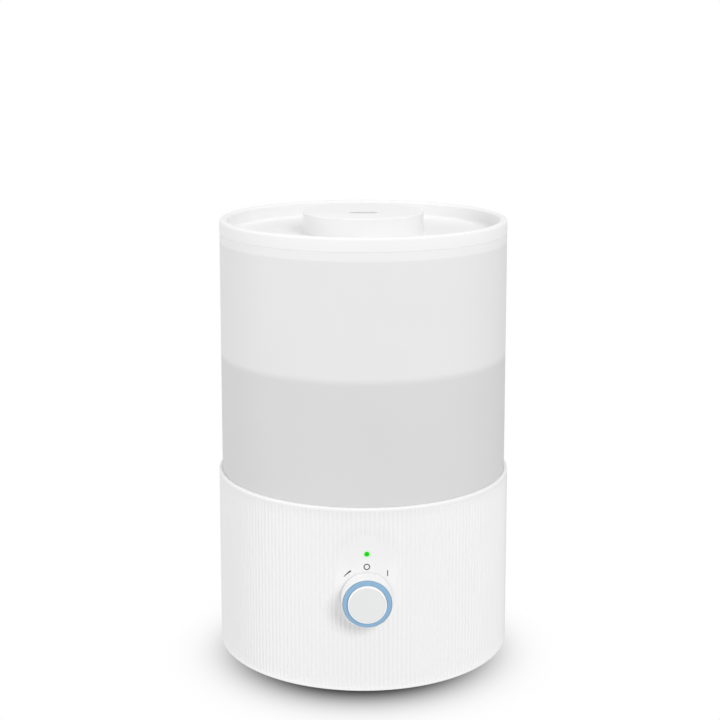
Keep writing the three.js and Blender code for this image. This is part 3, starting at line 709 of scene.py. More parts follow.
def fluted_shell():
    columns = FLUTES * FLUTE_COLUMNS
    inner_r = SHELL.radius - SHELL_WALL
    crown_r = shell_radius(SHELL.top)
    heel = rounded([(inner_r, 0), (SHELL.radius, 0, 0.7), (shell_radius(HEEL), HEEL)], 4)
    crown = rounded(
        [
            (crown_r, SHELL.top - LIP),
            (crown_r, SHELL.top, 1.4),
            (NEST_R, SHELL.top, 0.1),
            (NEST_R, SHELL.top - 3),
            (NEST_R + 0.25, SHELL.top - 4),
        ],
        4,
    )
    ledge = TRAY_RIM - TRAY_T - GAP
    inside = [
        (NEST_R + 0.25, ledge),
        (crown_r - 5.3, ledge),
        (crown_r - 5.3, ledge - 2.2),
        (inner_r, ledge - 2.2),
    ]
    rows = [(r, z, False) for r, z in heel[:-1]]
    rows += [(shell_radius(z), z, True) for z in shell_rows()]
    rows += [(r, z, False) for r, z in crown[1:] + inside]
    bm = bmesh.new()
    rings = []
    for r, z, fluted in rows:
        ring = []
        for i in range(columns):
            angle = TURN * i / columns
            reach = r - (flute_depth(angle, z) if fluted else 0)
            ring.append(bm.verts.new((reach * math.cos(angle), reach * math.sin(angle), z)))
        rings.append(ring)
    for a, b in zip(rings, rings[1:] + rings[:1]):
        for i in range(columns):
            j = (i + 1) % columns
            bm.faces.new((a[i], a[j], b[j], b[i]))
    shell = new_object("fluted_shell", bm)
    carved(shell, wall_hole(4, KNOB.z), wall_hole(LENS_R + 0.1, LENS.z), wall_hole(5, JACK.z, back=True))
    settle(shell, "base_shell", material=SHELL_FINISH_PAINTED_SHADE_AND_GLOW)


def wall_hole(radius, z, back=False):
    """A cutter through the shell's front or back wall."""
    return front_lathe("wall_hole", [(0, 70), (radius, 70), (radius, 92), (0, 92)], z, back=back)


# ---- tank ----

def tank_pieces():
    bottom_in = TANK.radius - TANK_WALL
    top_r = TANK.radius - TANK_TAPER
    wall = lathe("tank_shell", [
        (bottom_in, TANK.bottom, 0.4),
        (TANK.radius, TANK.bottom, 0.6),
        (top_r, LID_SEAM - SEAM_HALF),
        (top_r - TANK_WALL, LID_SEAM - SEAM_HALF, 0.3),
        (bottom_in, 103, 0.5),
        (bottom_in - 2.3, 103, 0.3),
        (bottom_in - 2.3, 101, 0.3),
        (bottom_in, 101, 0.5),
    ], BODY_SIDES)
    settle(wall, "tank_wall")
    floor = lathe("tank_base_plate", [
        (CHIMNEY.radius - 5.6, TANK_FLOOR.bottom),
        (TANK_FLOOR.radius, TANK_FLOOR.bottom, 0.3),
        (TANK_FLOOR.radius, TANK_FLOOR.top, 0.6),
        (CHIMNEY.radius - 5.6, TANK_FLOOR.top, 0.3),
    ], BODY_SIDES)
    hole = extruded("hole", circle(7, 0, CAGE.y), 90, 120)
    settle(carved(floor, hole), "tank_floor")
    flange = TANK_FLOOR.top + GAP
    inner = CHIMNEY.radius - 8
    outer = CHIMNEY.radius - 6
    chimney = lathe("chimney_tube", [
        (inner, CHIMNEY.bottom, 0.5),
        (outer, CHIMNEY.bottom, 0.5),
        (outer, flange),
        (CHIMNEY.radius, flange, 0.3),
        (CHIMNEY.radius, flange + 2, 0.6),
        (outer, flange + 2, 1.2),
        (outer, CHIMNEY.top, 0.6),
        (inner, CHIMNEY.top, 0.6),
    ])
    settle(chimney, "mist_chimney")


def gasket_piece():
    gasket = lathe("gasket_ring", [
        (GASKET.radius - 1.4, GASKET.bottom, 0.3),
        (GASKET.radius, GASKET.bottom, 0.3),
        (GASKET.radius, GASKET.top, 0.3),
        (GASKET.radius - 1.4, GASKET.top, 0.3),
    ], BODY_SIDES, steps=3)
    settle(gasket, "tank_gasket")


def water_piece():
    """The water in the tank, clear of its walls, the chimney and the valve."""
    outer = TANK.radius - TANK_WALL - TANK_TAPER - 0.1
    floor = TANK_FLOOR.top + GAP
    tube = CHIMNEY.radius - 6 + 0.1
    water = lathe("water_fill", [
        (CHIMNEY.radius + GAP, floor),
        (outer, floor),
        (outer, WATER_LEVEL, 0.2),
        (tube, WATER_LEVEL, 0.2),
        (tube, floor + 3.5),
        (CHIMNEY.radius + GAP, floor + 2.5),
    ], BODY_SIDES)
    cage_room = rod("cage_room", CAGE.radius + 0.1, floor - 1, CAGE.top + 0.1, (0, CAGE.y), PART_SIDES)
    stem_room = rod("stem_room", STEM_R + 0.1, floor - 1, PLUNGER.top + 0.1, (0, CAGE.y))
    carved(water, cage_room, stem_room)
    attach(coated(water, WATER), "tank")


# ---- tank valve ----

def valve_pieces():
    at = (0, CAGE.y)
    cage = lathe("valve_housing", [
        (CAGE.radius - 2, CAGE.bottom, 0.3),
        (CAGE.radius, CAGE.bottom, 0.3),
        (CAGE.radius, CAGE.top, 1.4),
        (STEM_R + 0.5, CAGE.top, 0.4),
        (STEM_R + 0.5, CAGE.top - 2, 0.2),
        (CAGE.radius - 2, CAGE.top - 2, 1.0),
    ], at=at)
    reach = CAGE.radius + 1
    window = (CAGE.bottom + 2, CAGE.bottom + 14)
    across = block("across", (-reach, reach), (CAGE.y - 5, CAGE.y + 5), window)
    along = block("along", (-5, 5), (CAGE.y - reach, CAGE.y + reach), window)
    settle(bevelled(carved(cage, across, along), 0.3, 2), "valve_cage")
    disc = VALVE_SEAL.top + GAP
    plunger = lathe("plunger_stem", [
        (0, PLUNGER.bottom),
        (STEM_R, PLUNGER.bottom, 0.9),
        (STEM_R, disc, 0.4),
        (PLUNGER.radius, disc, 0.5),
        (PLUNGER.radius, disc + 2, 0.5),
        (STEM_R, disc + 2, 1.0),
        (STEM_R, PLUNGER.top, 0.5),
        (0, PLUNGER.top),
    ], at=at)
    settle(plunger, "valve_plunger")
    seal = lathe("valve_washer", [
        (STEM_R + GAP, VALVE_SEAL.bottom, 0.2),
        (VALVE_SEAL.radius - 1.2, VALVE_SEAL.bottom, 0.3),
        (VALVE_SEAL.radius, VALVE_SEAL.top - 0.6, 0.3),
        (VALVE_SEAL.radius, VALVE_SEAL.top, 0.2),
        (STEM_R + GAP, VALVE_SEAL.top, 0.2),
    ], at=at)
    settle(seal, "valve_seal")
    coil = spring("coil_spring", at, SPRING.radius, SPRING.bottom, SPRING.top)
    coated(coil, FINISHES["steel"])
    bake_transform(coil)
    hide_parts("valve_spring")


def spring(name, at, outer, bottom, top, turns=4, wire=0.5, steps=32, sides=10):
    """A round-wire coil, closed at both ends."""
    radius = outer - wire
    low, high = bottom + wire, top - wire
    bm = bmesh.new()
    rings = []
    for i in range(turns * steps + 1):
        angle = TURN * i / steps
        z = low + (high - low) * i / (turns * steps)
        ring = []
        for j in range(sides):
            around = TURN * j / sides
            reach = radius + wire * math.cos(around)
            ring.append(bm.verts.new((
                at[0] + reach * math.cos(angle),
                at[1] + reach * math.sin(angle),
                z + wire * math.sin(around),
            )))
        rings.append(ring)
    for a, b in zip(rings, rings[1:]):
        for j in range(sides):
            k = (j + 1) % sides
            bm.faces.new((a[j], a[k], b[k], b[j]))
    bm.faces.new(rings[0])
    bm.faces.new(rings[-1])
    return new_object(name, bm)


# ---- lid ----

def lid_pieces():
    under = DISH_FLOOR - LID_T
    cover = lathe("lid_shell", [
        (0, LID.top - LID_T),
        (HUB_R - LID_T, LID.top - LID_T, 0.6),
        (HUB_R - LID_T, under, 0.6),
        (SKIRT_IN_R, under, 0.5),
        (SKIRT_IN_R, LID.bottom, 0.3),
        (SKIRT_OUT_R, LID.bottom, 0.3),
        (SKIRT_OUT_R, SEAL.bottom - GAP, 0.1),
        (SEAL_GROOVE_R, SEAL.bottom - GAP, 0.1),
        (SEAL_GROOVE_R, SEAL.top + GAP, 0.1),
        (SKIRT_OUT_R, SEAL.top + GAP, 0.1),
        (SKIRT_OUT_R, LID_SEAM + SEAM_HALF, 0.1),
        (LID.radius, LID_SEAM + SEAM_HALF),
        (LID.radius, RIM_TOP, 1.5),
        (RIM_IN_R + 0.2, RIM_TOP, 1.7),
        (RIM_IN_R, DISH_FLOOR, 2.0),
        (HUB_R + 0.3, DISH_FLOOR, 1.2),
        (HUB_R, LID.top, 0.6),
        (0, LID.top),
    ], BODY_SIDES)
    slot = extruded("slot", stadium(16, 6, 0, SLOT_Y), LID.top - 5, LID.top + 5)
    settle(bevelled(carved(cover, slot), 0.8, 3), "lid_cover", material=LID_FINISH_PAINTED_SHADE)
    liner = lathe("liner_plate", [
        (NOZZLE_R + 0.6, LINER.bottom, 0.5),
        (NOZZLE_R + 2.4, LINER.bottom, 0.5),
        (NOZZLE_R + 2.4, LINER.top - 1.8, 0.6),
        (LINER.radius, LINER.top - 1.8, 0.3),
        (LINER.radius, LINER.top, 0.3),
        (NOZZLE_R + 0.6, LINER.top, 0.5),
    ], BODY_SIDES)
    settle(liner, "lid_liner")
    nozzle = lathe("nozzle_collar", [
        (NOZZLE_R - 2, NOZZLE.bottom, 0.6),
        (NOZZLE_R, NOZZLE.bottom, 0.6),
        (NOZZLE_R, NOZZLE.top - 1.6, 1.5),
        (NOZZLE.radius, NOZZLE.top - 1.6, 0.3),
        (NOZZLE.radius, NOZZLE.top, 0.3),
        (NOZZLE_R - 2, NOZZLE.top, 0.6),
    ], BODY_SIDES)
    settle(nozzle, "mist_nozzle")
    lip = (SEAL.top - SEAL.bottom) / 3
    seal = lathe("seal_ring", [
        (SEAL.radius - 1.2, SEAL.bottom, 0.15),
        (SEAL.radius, SEAL.bottom, 0.25),
        (SEAL.radius, SEAL.bottom + lip, 0.2),
        (SEAL.radius - 0.4, SEAL.z, 0.2),
        (SEAL.radius, SEAL.top - lip, 0.2),
        (SEAL.radius, SEAL.top, 0.25),
        (SEAL.radius - 1.2, SEAL.top, 0.15),
    ], BODY_SIDES, steps=3)
    settle(seal, "lid_seal")


# ---- knob, indicator and marks ----

def knob_pieces():
    face = -KNOB.front
    back = -KNOB.back
    seat = face - 1.4
    body = front_lathe("knob_barrel", [
        (0, seat - 0.9),
        (10.6, seat - 0.9),
        (10.6, seat),
        (13.35, seat, 0.1),
        (13.35, face, 0.2),
        (13.75, face, 0.25),
        (KNOB.radius, back - KNOB_SKIRT, 0.3),
        (KNOB_WALL_R, back - KNOB_SKIRT, 0.3),
        (KNOB_WALL_R, KNOB_CEILING),
        (KNOB_BOSS_R, KNOB_CEILING),
        (KNOB_BOSS_R, KNOB_BOSS_BACK),
        (KNOB_BORE_R, KNOB_BOSS_BACK),
        (KNOB_BORE_R, KNOB_BORE_END),
        (0, KNOB_BORE_END),
    ], KNOB.z, KNOB_SIDES)
    settle(body, "knob_body")
    ring = front_lathe("blue_ring", [
        (RING_IN_R, seat + GAP),
        (RING_OUT_R, seat + GAP),
        (RING_OUT_R, -RING.front, 0.45),
        (RING_IN_R, -RING.front, 0.3),
    ], KNOB.z, KNOB_SIDES)
    settle(ring, "knob_ring")
    cap = front_lathe("knob_face", [
        (0, seat - 0.6),
        (FACE_R, seat - 0.6),
        (FACE_R, -CAP.front, 0.15),
        (0, -CAP.front),
    ], KNOB.z, KNOB_SIDES)
    settle(cap, "knob_cap")
    rim = front_lathe("knob_face_rim", [
        (FACE_R + 0.02, seat - 0.6),
        (FACE_R + 0.75, seat - 0.6),
        (FACE_R + 0.75, -CAP.front - 0.4, 0.2),
        (FACE_R + 0.02, -CAP.front, 0.15),
    ], KNOB.z, KNOB_SIDES)
    settle(rim, "knob_cap", material=CAP_RIM_FINISH)
    lens = front_lathe("green_lens", [
        (0, LENS_SEAT),
        (LENS_R, LENS_SEAT),
        (LENS_R, 84.5, 0.2),
        (0.9, 85.0, 0.5),
        (0, 85.15),
    ], LENS.z, 32)
    settle(lens, "led_lens")


def printed(name, columns):
    """A thin printed mark on the front wall. Each column is its two edges' (x, z)."""
    bm = bmesh.new()
    layers = []
    for lift in (-0.3, 0.02):
        layer = []
        for pair in columns:
            layer.append([on_front(bm, x, z, lift) for x, z in pair])
        layers.append(layer)
    inner, outer = layers
    closed = columns[0] == columns[-1]
    if closed:
        inner[-1] = inner[0]
        outer[-1] = outer[0]
    for i in range(len(columns) - 1):
        j = i + 1
        bm.faces.new((outer[i][0], outer[i][1], outer[j][1], outer[j][0]))
        bm.faces.new((inner[i][0], inner[j][0], inner[j][1], inner[i][1]))
        bm.faces.new((outer[i][0], outer[j][0], inner[j][0], inner[i][0]))
        bm.faces.new((outer[i][1], inner[i][1], inner[j][1], outer[j][1]))
    if not closed:
        for i in (0, len(columns) - 1):
            bm.faces.new((outer[i][0], inner[i][0], inner[i][1], outer[i][1]))
    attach(coated(new_object(name, bm), INK), "base")


def on_front(bm, x, z, lift):
    """A vertex on the smooth patch, or lift above it."""
    radius = shell_radius(z)
    angle = math.asin(x / radius)
    reach = radius - FLUTE_DEPTH * PATCH_DEPTH + lift
    return bm.verts.new((reach * math.sin(angle), -reach * math.cos(angle), z))


def marks():
    """A ring for off over the knob, an upright stroke on its right and a swelling wedge on its left."""
    ring_z = LENS.z - 7.25
    ring_in, ring_out = 1.22, 1.8
    sides = 40
    ring = []
    for i in range(sides + 1):
        angle = TURN * (i % sides) / sides
        c, s = math.cos(angle), math.sin(angle)
        ring.append(((ring_in * c, ring_z + ring_in * s), (ring_out * c, ring_z + ring_out * s)))
    printed("mark_off", ring)
    low, high = KNOB.z + 11.5, KNOB.z + 14.9
    left, right = 11.02, 11.53
    printed("mark_full", [((left, low), (right, low)), ((left, high), (right, high))])
    wedge = []
    steps = 12
    for i in range(steps + 1):
        t = i / steps
        angle = math.radians(137.9 - 17.6 * t)
        radius = 16.85 + 0.34 * t
        half = 0.12 + 0.36 * t
        c, s = math.cos(angle), math.sin(angle)
        wedge.append((
            ((radius - half) * c, KNOB.z + (radius - half) * s),
            ((radius + half) * c, KNOB.z + (radius + half) * s),
        ))
    printed("mark_wedge", wedge)


# ---- base: cover, feet, screws and inlet ----

def screw(node, shank_r, head_t, up):
    """A cross-headed screw in a CAD screw's place, with its head on top or underneath."""
    cross = 0.3  # half the width of the cross's arms
    at = Extent(node)
    facing = 1 if up else -1
    face = at.top if up else at.bottom
    length = at.top - at.bottom
    core = 0.82 * shank_r
    outline = [(0, 0), (0.62 * at.radius, 0, 0.6), (at.radius, 0.5 * head_t, 0.3), (at.radius, head_t, 0.1)]
    outline += [(shank_r, head_t, 0.1), (shank_r, head_t + 0.6)]
    depth = head_t + 0.9
    while depth < length - 1.6:
        outline += [(core, depth), (shank_r, depth + 0.3)]
        depth += 0.6
    outline += [(core, length - 1.2), (0, length)]
    points = [(point[0], face - facing * point[1], *point[2:]) for point in outline]
    piece = lathe(node.replace("screw", "fastener"), points, 24, (at.x, at.y), 3)
    reach = 0.55 * at.radius
    sink = sorted((face + facing, face - facing * 0.65 * head_t))
    across = block("across", (at.x - reach, at.x + reach), (at.y - cross, at.y + cross), sink)
    along = block("along", (at.x - cross, at.x + cross), (at.y - reach, at.y + reach), sink)
    settle(carved(piece, across, along), node)


def screws():
    for i in range(4):
        screw(f"cover_screw_{i + 1}", 1.2, 0.9, up=False)
    for i in range(3):
        screw(f"retainer_screw_{i + 1}", 1.0, 1.5, up=False)
    for i in range(2):
        screw(f"fan_screw_{i + 1}", 1.3, 1.6, up=True)


def bosses():
    """Posts inside the shell that the cover's screws go up into, each with a rib to the wall."""
    low = COVER_T + GAP
    ribs = (BOSS_R + 4.05, SHELL.radius - SHELL_WALL - 0.1)
    pieces = []
    for degrees in BOSS_ANGLES:
        pieces.append(lathe("boss", [
            (1.5, low, 0.2),
            (4, low, 0.3),
            (4, BOSS_TOP, 0.8),
            (0, BOSS_TOP),
            (0, 16),
            (1.5, 16),
        ], 24, on_circle(BOSS_R, degrees)))
        rib = block("rib", ribs, (-1.2, 1.2), (low, BOSS_TOP))
        rib.data.transform(Matrix.Rotation(math.radians(degrees), 4, "Z"))
        pieces.append(rib)
    piece = smooth(gathered(*pieces))
    piece.name = "screw_bosses"
    coated(piece, FINISHES["white_shell"])
    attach(piece, "base")


def cover_post(radius, top, at):
    return lathe("post", [(0, POST_FOOT), (radius, POST_FOOT), (radius, top, 0.3), (0, top)], 24, at)


def cover_piece():
    """The disc under the base, with seats for the feet and screws, air slots under the fan, and posts."""
    plate = lathe("cover_plate", [
        (0, 0),
        (COVER.radius, 0, 0.7),
        (COVER.radius, COVER_T, 0.3),
        (0, COVER_T),
    ], BODY_SIDES)
    posts = []
    tools = []
    countersink = [(0, -1), (3.5, -1), (3.5, 1.4), (1.6, 1.4), (1.6, 4), (0, 4)]
    for degrees in BOSS_ANGLES:
        tools.append(lathe("seat", countersink, SMALL_SIDES, on_circle(BOSS_R, degrees)))
    for degrees in FOOT_ANGLES:
        tools.append(rod("seat", 6.4, -1, FOOT_SEAT, on_circle(FOOT_R, degrees)))
    for i in range(-2, 3):
        slot = [(FAN.x + VENT_PITCH * i + y, x) for x, y in stadium(30, 3)]
        tools.append(extruded("vent", slot, -1, 4))
    for x in (FAN.x - FAN_HOLE, FAN.x + FAN_HOLE):
        for y in (-FAN_HOLE, FAN_HOLE):
            posts.append(cover_post(3, FAN.bottom - GAP, (x, y)))
            tools.append(rod("pilot", 1.6, 1.8, FAN.bottom + 1, (x, y), 24))
    for at in BOARD_POSTS:
        posts.append(cover_post(2.5, COVER.top, at))
    carved(plate, gathered(*posts), operation="UNION")
    carved(plate, gathered(*tools))
    settle(bevelled(plate, 0.25, 2), "bottom_cover")


def feet():
    for i in range(4):
        foot = Extent(f"foot_{i + 1}")
        pad = lathe(f"rubber_foot_{i + 1}", [
            (0, foot.bottom),
            (foot.radius - 1.6, foot.bottom, 0.3),
            (foot.radius, foot.bottom + 0.9, 0.5),
            (foot.radius, foot.top, 0.2),
            (0, foot.top),
        ], SMALL_SIDES, (foot.x, foot.y))
        settle(pad, f"foot_{i + 1}")


def inlet_pieces():
    barrel = front_lathe("inlet_socket", [
        (0, 74),
        (3.2, 74, 0.2),
        (3.2, JACK.back, 0.4),
        (4.6, JACK.back, 0.4),
        (4.6, 82),
        (5.2, 81.9, 0.2),
        (5.2, 71.5),
        (0, 71.5),
    ], JACK.z, SMALL_SIDES, back=True)
    settle(barrel, "dc_jack")
    pin = front_lathe("inlet_pin", [
        (0, 74.1),
        (0.9, 74.1),
        (0.9, 83.5, 0.5),
        (0, 83.5),
    ], JACK.z, 20, back=True)
    settle(pin, "dc_jack_pin")


# ---- basin tray and transducer ----

RETAINER_SCREWS = [on_circle(RETAINER_SCREW_R, degrees) for degrees in RETAINER_ANGLES]


def tray_piece():
    under = TRAY_FLOOR - TRAY_T
    basin = lathe("tray_basin", [
        (WINDOW_R, SUMP_FLOOR - 1, 0.2),
        (SEAT_R, SUMP_FLOOR - 1),
        (SEAT_R, TRAY.bottom, 0.3),
        (SUMP_R + TRAY_T, TRAY.bottom, 1.5),
        (SUMP_R + TRAY_T, under, 1.5),
        (TRAY_IN_R + TRAY_T, under, 3.0),
        (TRAY_IN_R + TRAY_T, TRAY_RIM - TRAY_T, 0.4),
        (TRAY.radius, TRAY_RIM - TRAY_T, 0.3),
        (TRAY.radius, TRAY_RIM, 0.3),
        (TRAY_IN_R, TRAY_RIM, 1.2),
        (TRAY_IN_R, TRAY_FLOOR, 3.0),
        (SUMP_R, TRAY_FLOOR, 2.0),
        (SUMP_R, SUMP_FLOOR, 2.5),
        (WINDOW_R, SUMP_FLOOR, 0.5),
    ], BODY_SIDES)
    foot = TRAY_FLOOR - 1
    pin_outline = [(0, foot), (3, foot), (3, PIN_TOP, 1.2), (0, PIN_TOP)]
    pin = lathe("pin", pin_outline, SMALL_SIDES, (0, CAGE.y))
    post_outline = [(0, foot), (2.5, foot), (2.5, POST_TOP, 0.6), (0, POST_TOP)]
    post = lathe("post", post_outline, SMALL_SIDES, (0, FLOAT.y))
    collar = lathe("collar", [
        (AIRWAY_R, under, 0.1),
        (COLLAR_R, under, 0.1),
        (COLLAR_R, COLLAR_TOP, 0.7),
        (AIRWAY_R, COLLAR_TOP, 0.7),
    ], PART_SIDES, (FAN.x, FAN.y))
    airway = rod("airway", AIRWAY_R + 1, under - 1, TRAY_FLOOR + 1, (FAN.x, FAN.y), PART_SIDES)
    pilots = [rod("pilot", 1.3, TRAY.bottom - 1, SUMP_FLOOR - 1, at, 16) for at in RETAINER_SCREWS]
    carved(basin, gathered(airway, *pilots))
    carved(basin, gathered(pin, post, collar), operation="UNION")
    settle(bevelled(basin, 0.2, 2), "basin_tray")


def transducer_pieces():
    disc = lathe("piezo_disc", [
        (0, PIEZO.bottom),
        (PIEZO.radius, PIEZO.bottom, 0.15),
        (PIEZO.radius, PIEZO.top, 0.15),
        (7.2, PIEZO.top),
        (7.0, PIEZO.top - 0.1),
        (0, PIEZO.top - 0.1),
    ])
    settle(disc, "transducer_disc")
    inner = PIEZO.radius + GAP
    outer = SEAT_R - 0.4
    top = SUMP_FLOOR - 1 - GAP
    seal = lathe("piezo_seal", [
        (inner, RETAINER.top + GAP, 0.2),
        (outer, RETAINER.top + GAP, 0.3),
        (outer, top, 0.4),
        (WINDOW_R + GAP, top, 0.3),
        (WINDOW_R + GAP, PIEZO.top + GAP, 0.2),
        (inner, PIEZO.top + GAP, 0.1),
    ], steps=3)
    settle(seal, "transducer_seal")
    plate = lathe("retainer_plate", [
        (7, RETAINER.bottom, 0.4),
        (RETAINER.radius, RETAINER.bottom, 0.5),
        (RETAINER.radius, RETAINER.top, 0.5),
        (7, RETAINER.top, 0.4),
    ])
    holes = [rod("hole", 1.4, RETAINER.bottom - 1, RETAINER.top + 1, at, 20) for at in RETAINER_SCREWS]
    settle(carved(plate, gathered(*holes)), "transducer_retainer")


# ---- float ----

def float_pieces():
    at = (0, FLOAT.y)
    magnet_in = 4.5
    ring = lathe("float_body", [
        (3, FLOAT.bottom, 0.4),
        (magnet_in - GAP, FLOAT.bottom, 0.2),
        (magnet_in - GAP, MAGNET.top + GAP, 0.2),
        (MAGNET.radius + GAP, MAGNET.top + GAP, 0.2),
        (MAGNET.radius + GAP, FLOAT.bottom, 0.3),
        (FLOAT.radius, FLOAT.bottom, 1.4),
        (FLOAT.radius, FLOAT.top, 2.2),
        (3, FLOAT.top, 0.8),
    ], at=at)
    settle(ring, "float_ring")
    magnet = lathe("ring_magnet", [
        (magnet_in, MAGNET.bottom, 0.25),
        (MAGNET.radius, MAGNET.bottom, 0.25),
        (MAGNET.radius, MAGNET.top, 0.25),
        (magnet_in, MAGNET.top, 0.25),
    ], at=at)
    settle(magnet, "float_magnet")
    cap = lathe("post_cap", [
        (0, FLOAT_CAP.bottom),
        (FLOAT_CAP.radius, FLOAT_CAP.bottom, 0.3),
        (FLOAT_CAP.radius, FLOAT_CAP.top - 0.3, 0.9),
        (2.2, FLOAT_CAP.top, 1.5),
        (0, FLOAT_CAP.top),
    ], at=at)
    settle(cap, "float_cap")


# ---- fan, duct and boards ----

def rotor_piece():
    """A hub with seven curved blades, each steeper at its root."""
    hub = lathe("rotor_wheel", [
        (0, ROTOR.bottom),
        (12, ROTOR.bottom, 0.4),
        (12, ROTOR.top, 1.5),
        (8, ROTOR.top, 0.5),
        (7.4, ROTOR.top - 0.5, 0.4),
        (0, ROTOR.top - 0.5),
    ], at=(FAN.x, FAN.y))
    count = 7
    blades = [fan_blade(TURN * i / count) for i in range(count)]
    carved(hub, gathered(*blades), operation="UNION")
    settle(hub, "fan_rotor")


def fan_blade(turn):
    """One blade, lofted outwards through cambered sections that flatten towards its tip."""
    root_r, span = 11.4, 11.0
    width, camber, half_t = 8.4, 0.9, 0.45
    middle = FAN.bottom + 5.4
    bm = bmesh.new()
    sections = []
    for j in range(6):
        t = j / 5
        reach = root_r + span * t
        pitch = math.radians(48 - 14 * t)
        section = []
        for side in (1, -1):
            for k in range(7):
                along = (k / 6 - 0.5) * side
                chord = width * along
                bow = camber * (1 - 4 * along * along)
                lift = bow + side * half_t * math.sqrt(1.02 - 4 * along * along)
                y = chord * math.cos(pitch) - lift * math.sin(pitch)
                z = chord * math.sin(pitch) + lift * math.cos(pitch)
                section.append(bm.verts.new((reach, y, middle + z)))
        sections.append(section)
    for a, b in zip(sections, sections[1:]):
        for k in range(len(a)):
            m = (k + 1) % len(a)
            bm.faces.new((a[k], a[m], b[m], b[k]))
    bm.faces.new(sections[0])
    bm.faces.new(sections[-1])
    bmesh.ops.rotate(bm, verts=bm.verts, matrix=Matrix.Rotation(turn, 3, "Z"))
    bmesh.ops.translate(bm, verts=bm.verts, vec=(FAN.x, FAN.y, 0))
    return new_object("blade", bm)


def duct_piece():
    mouth = DUCT.radius
    duct = lathe("duct_funnel", [
        (mouth - 1.5, DUCT.bottom, 0.3),
        (mouth, DUCT.bottom, 0.3),
        (mouth, 20, 4),
        (12, 42, 6),
        (12, DUCT.top, 0.4),
        (AIRWAY_R, DUCT.top, 0.4),
        (AIRWAY_R, 42.6, 6),
        (mouth - 1.5, 19.6, 4),
    ], at=(FAN.x, FAN.y))
    settle(duct, "air_duct")


def board_pieces():
    winding = [
        (0, INDUCTOR.bottom),
        (INDUCTOR.radius, INDUCTOR.bottom, 0.3),
        (INDUCTOR.radius, INDUCTOR.bottom + 1.2, 0.3),
    ]
    z = INDUCTOR.bottom + 1.4
    while z < INDUCTOR.top - 1.9:
        winding += [(5.6, z), (6.1, z + 0.25), (5.6, z + 0.5)]
        z += 0.55
    winding += [
        (INDUCTOR.radius, INDUCTOR.top - 1.2, 0.3),
        (INDUCTOR.radius, INDUCTOR.top, 0.3),
        (2, INDUCTOR.top, 0.3),
        (2, INDUCTOR.top - 0.8, 0.2),
        (0, INDUCTOR.top - 0.8),
    ]
    settle(lathe("wound_inductor", winding, SMALL_SIDES, (INDUCTOR.x, INDUCTOR.y), 3), "driver_inductor")
    can = lathe("capacitor_can", [
        (0, CAPACITOR.bottom),
        (CAPACITOR.radius - 0.2, CAPACITOR.bottom, 0.4),
        (CAPACITOR.radius - 0.2, CAPACITOR.bottom + 2, 0.2),
        (CAPACITOR.radius - 0.8, CAPACITOR.bottom + 2.6, 0.3),
        (CAPACITOR.radius, CAPACITOR.bottom + 3.2, 0.2),
        (CAPACITOR.radius, CAPACITOR.top, 0.6),
        (CAPACITOR.radius - 0.8, CAPACITOR.top, 0.2),
        (CAPACITOR.radius - 1, CAPACITOR.top - 0.3, 0.1),
        (0, CAPACITOR.top - 0.3),
    ], SMALL_SIDES, (CAPACITOR.x, CAPACITOR.y))
    settle(can, "driver_capacitor")
    for node in ("fan_frame", "potentiometer", "pot_nut", "pot_shaft", "driver_heatsink", "float_switch"):
        eased(node, 0.3)
    for node in ("circuit_board", "control_board", "led_lamp"):
        eased(node, 0.15)
    for node in ("power_lead", "transducer_lead", "fan_lead", "control_lead"):
        lead = welded(node)
        rounder = lead.modifiers.new("rounder", "SUBSURF")
        rounder.levels = 2
        rounder.render_levels = 2


# ---- stage, light and camera ----

FLOOR_Z = cad_low.z
ROOM_LIGHT = 0.69
TABLE_LIGHT = 0.71
SHADOW_X = -1.4  # the contact shadow's middle, in millimetres
SHADOW_Y = -20
SHADOW_R = 59  # its fully dark part
SHADOW_DEPTH = 0.96
SHADOW_POWER = 1.66  # past that part it falls off as exp(-SHADOW_FALL * distance ** SHADOW_POWER)
SHADOW_FALL = 0.00659


def shadow_share(tree, position):
    """How dark the contact shadow is at a place on the sweep."""
    def math_node(operation, first, second=None):
        values = {0: first} if second is None else {0: first, 1: second}
        return add(tree, "ShaderNodeMath", values, operation=operation).outputs[0]

    middle = (SHADOW_X * MM, SHADOW_Y * MM, FLOOR_Z)
    reach = add(tree, "ShaderNodeVectorMath", {0: position, 1: middle}, operation="DISTANCE")
    past = math_node("MAXIMUM", math_node("SUBTRACT", reach.outputs["Value"], SHADOW_R * MM), 0.0)
    spread = math_node("POWER", math_node("MULTIPLY", past, 1 / MM), SHADOW_POWER)
    fall = math_node("EXPONENT", math_node("MULTIPLY", spread, -SHADOW_FALL))
    return math_node("MULTIPLY", fall, SHADOW_DEPTH)


def glowing(name, strength, shadowed=False):
    """A plain white surface that gives its own light."""
    material, tree, surface = node_material(name)
    tree.nodes.remove(surface)
    glow = add(tree, "ShaderNodeEmission", {"Strength": strength})
    if shadowed:
        place = add(tree, "ShaderNodeNewGeometry")
        dark = shadow_share(tree, place.outputs["Position"])
        lit = add(tree, "ShaderNodeMath", {0: strength, 1: dark}, operation="SUBTRACT")
        tree.links.new(lit.outputs[0], glow.inputs["Strength"])
    tree.links.new(glow.outputs["Emission"], tree.nodes["Material Output"].inputs["Surface"])
    return material


def seen_by(piece, camera, light):
    piece.visible_camera = camera
    for ray in ("diffuse", "glossy", "transmission", "volume_scatter", "shadow"):
        setattr(piece, f"visible_{ray}", light)


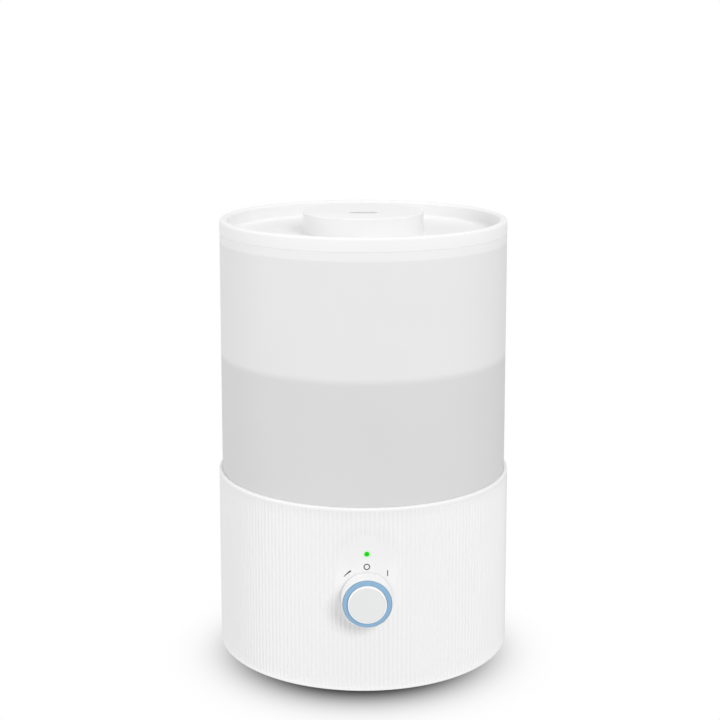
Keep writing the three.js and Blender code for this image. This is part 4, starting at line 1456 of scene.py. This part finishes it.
def stage():
    """A white sweep that the camera sees, and a lit table under the piece that only lights it."""
    floor = FLOOR_Z / MM
    outline = rounded([(0, floor), (3500, floor, 900), (3500, 4000)], 12)
    sweep = new_object("sweep", lathe_mesh(outline, 64, closed=False))
    sweep.data.materials.append(glowing("white_sweep", 1.0, shadowed=True))
    seen_by(sweep, camera=True, light=False)
    table = new_object("lit_table", lathe_mesh([(0, floor - 0.5), (3000, floor - 0.5)], 64, closed=False))
    table.data.materials.append(glowing("table_light", TABLE_LIGHT))
    seen_by(table, camera=False, light=True)


def area_light(name, azimuth, elevation, size, power, distance=3.0):
    """A round soft light aimed at the middle of the body. Azimuth 0 is in front, 90 to the right."""
    data = bpy.data.lights.new(name, "AREA")
    data.shape = "DISK"
    data.size = size
    data.energy = power
    lamp = bpy.data.objects.new(name, data)
    a, e = math.radians(azimuth), math.radians(elevation)
    aim = Vector((0, 0, 0.12))
    out = Vector((math.sin(a) * math.cos(e), -math.cos(a) * math.cos(e), math.sin(e)))
    lamp.location = aim + out * distance
    lamp.rotation_mode = "QUATERNION"
    lamp.rotation_quaternion = out.to_track_quat("Z", "Y")
    bpy.context.scene.collection.objects.link(lamp)


def studio():
    world = bpy.data.worlds.new("white_room")
    world.use_nodes = True
    world.node_tree.nodes["Background"].inputs["Color"].default_value = (1, 1, 1, 1)
    world.node_tree.nodes["Background"].inputs["Strength"].default_value = ROOM_LIGHT
    bpy.context.scene.world = world
    area_light("key", azimuth=25, elevation=29, size=1.2, power=36)
    area_light("fill", azimuth=-82, elevation=12, size=1.8, power=25)
    area_light("top", azimuth=180, elevation=84, size=1.8, power=15)
    bpy.context.scene.view_settings.view_transform = "Standard"


def camera():
    data = bpy.data.cameras.new("camera")
    data.lens = 75.74
    data.sensor_width = 36
    data.shift_x = -0.0046
    data.shift_y = -0.05
    data.clip_end = 30
    viewer = bpy.data.objects.new("camera", data)
    viewer.location = (-0.0195, -0.8595, 0.3662)
    pitch = math.radians(11.68)
    heading = math.atan2(-viewer.location.x, -viewer.location.y)
    viewer.rotation_euler = (math.pi / 2 - pitch, 0, -heading)
    bpy.context.scene.collection.objects.link(viewer)
    bpy.context.scene.camera = viewer


camera()
studio()
stage()
fluted_shell()
bosses()
cover_piece()
feet()
inlet_pieces()
tray_piece()
transducer_pieces()
screws()
float_pieces()
rotor_piece()
duct_piece()
board_pieces()
tank_pieces()
gasket_piece()
valve_pieces()
water_piece()
lid_pieces()
knob_pieces()
marks()
for name, node in frame["nodes"].items():
    if not node.hide_render:
        coated(node, FINISHES[SLOT_OF[name]])
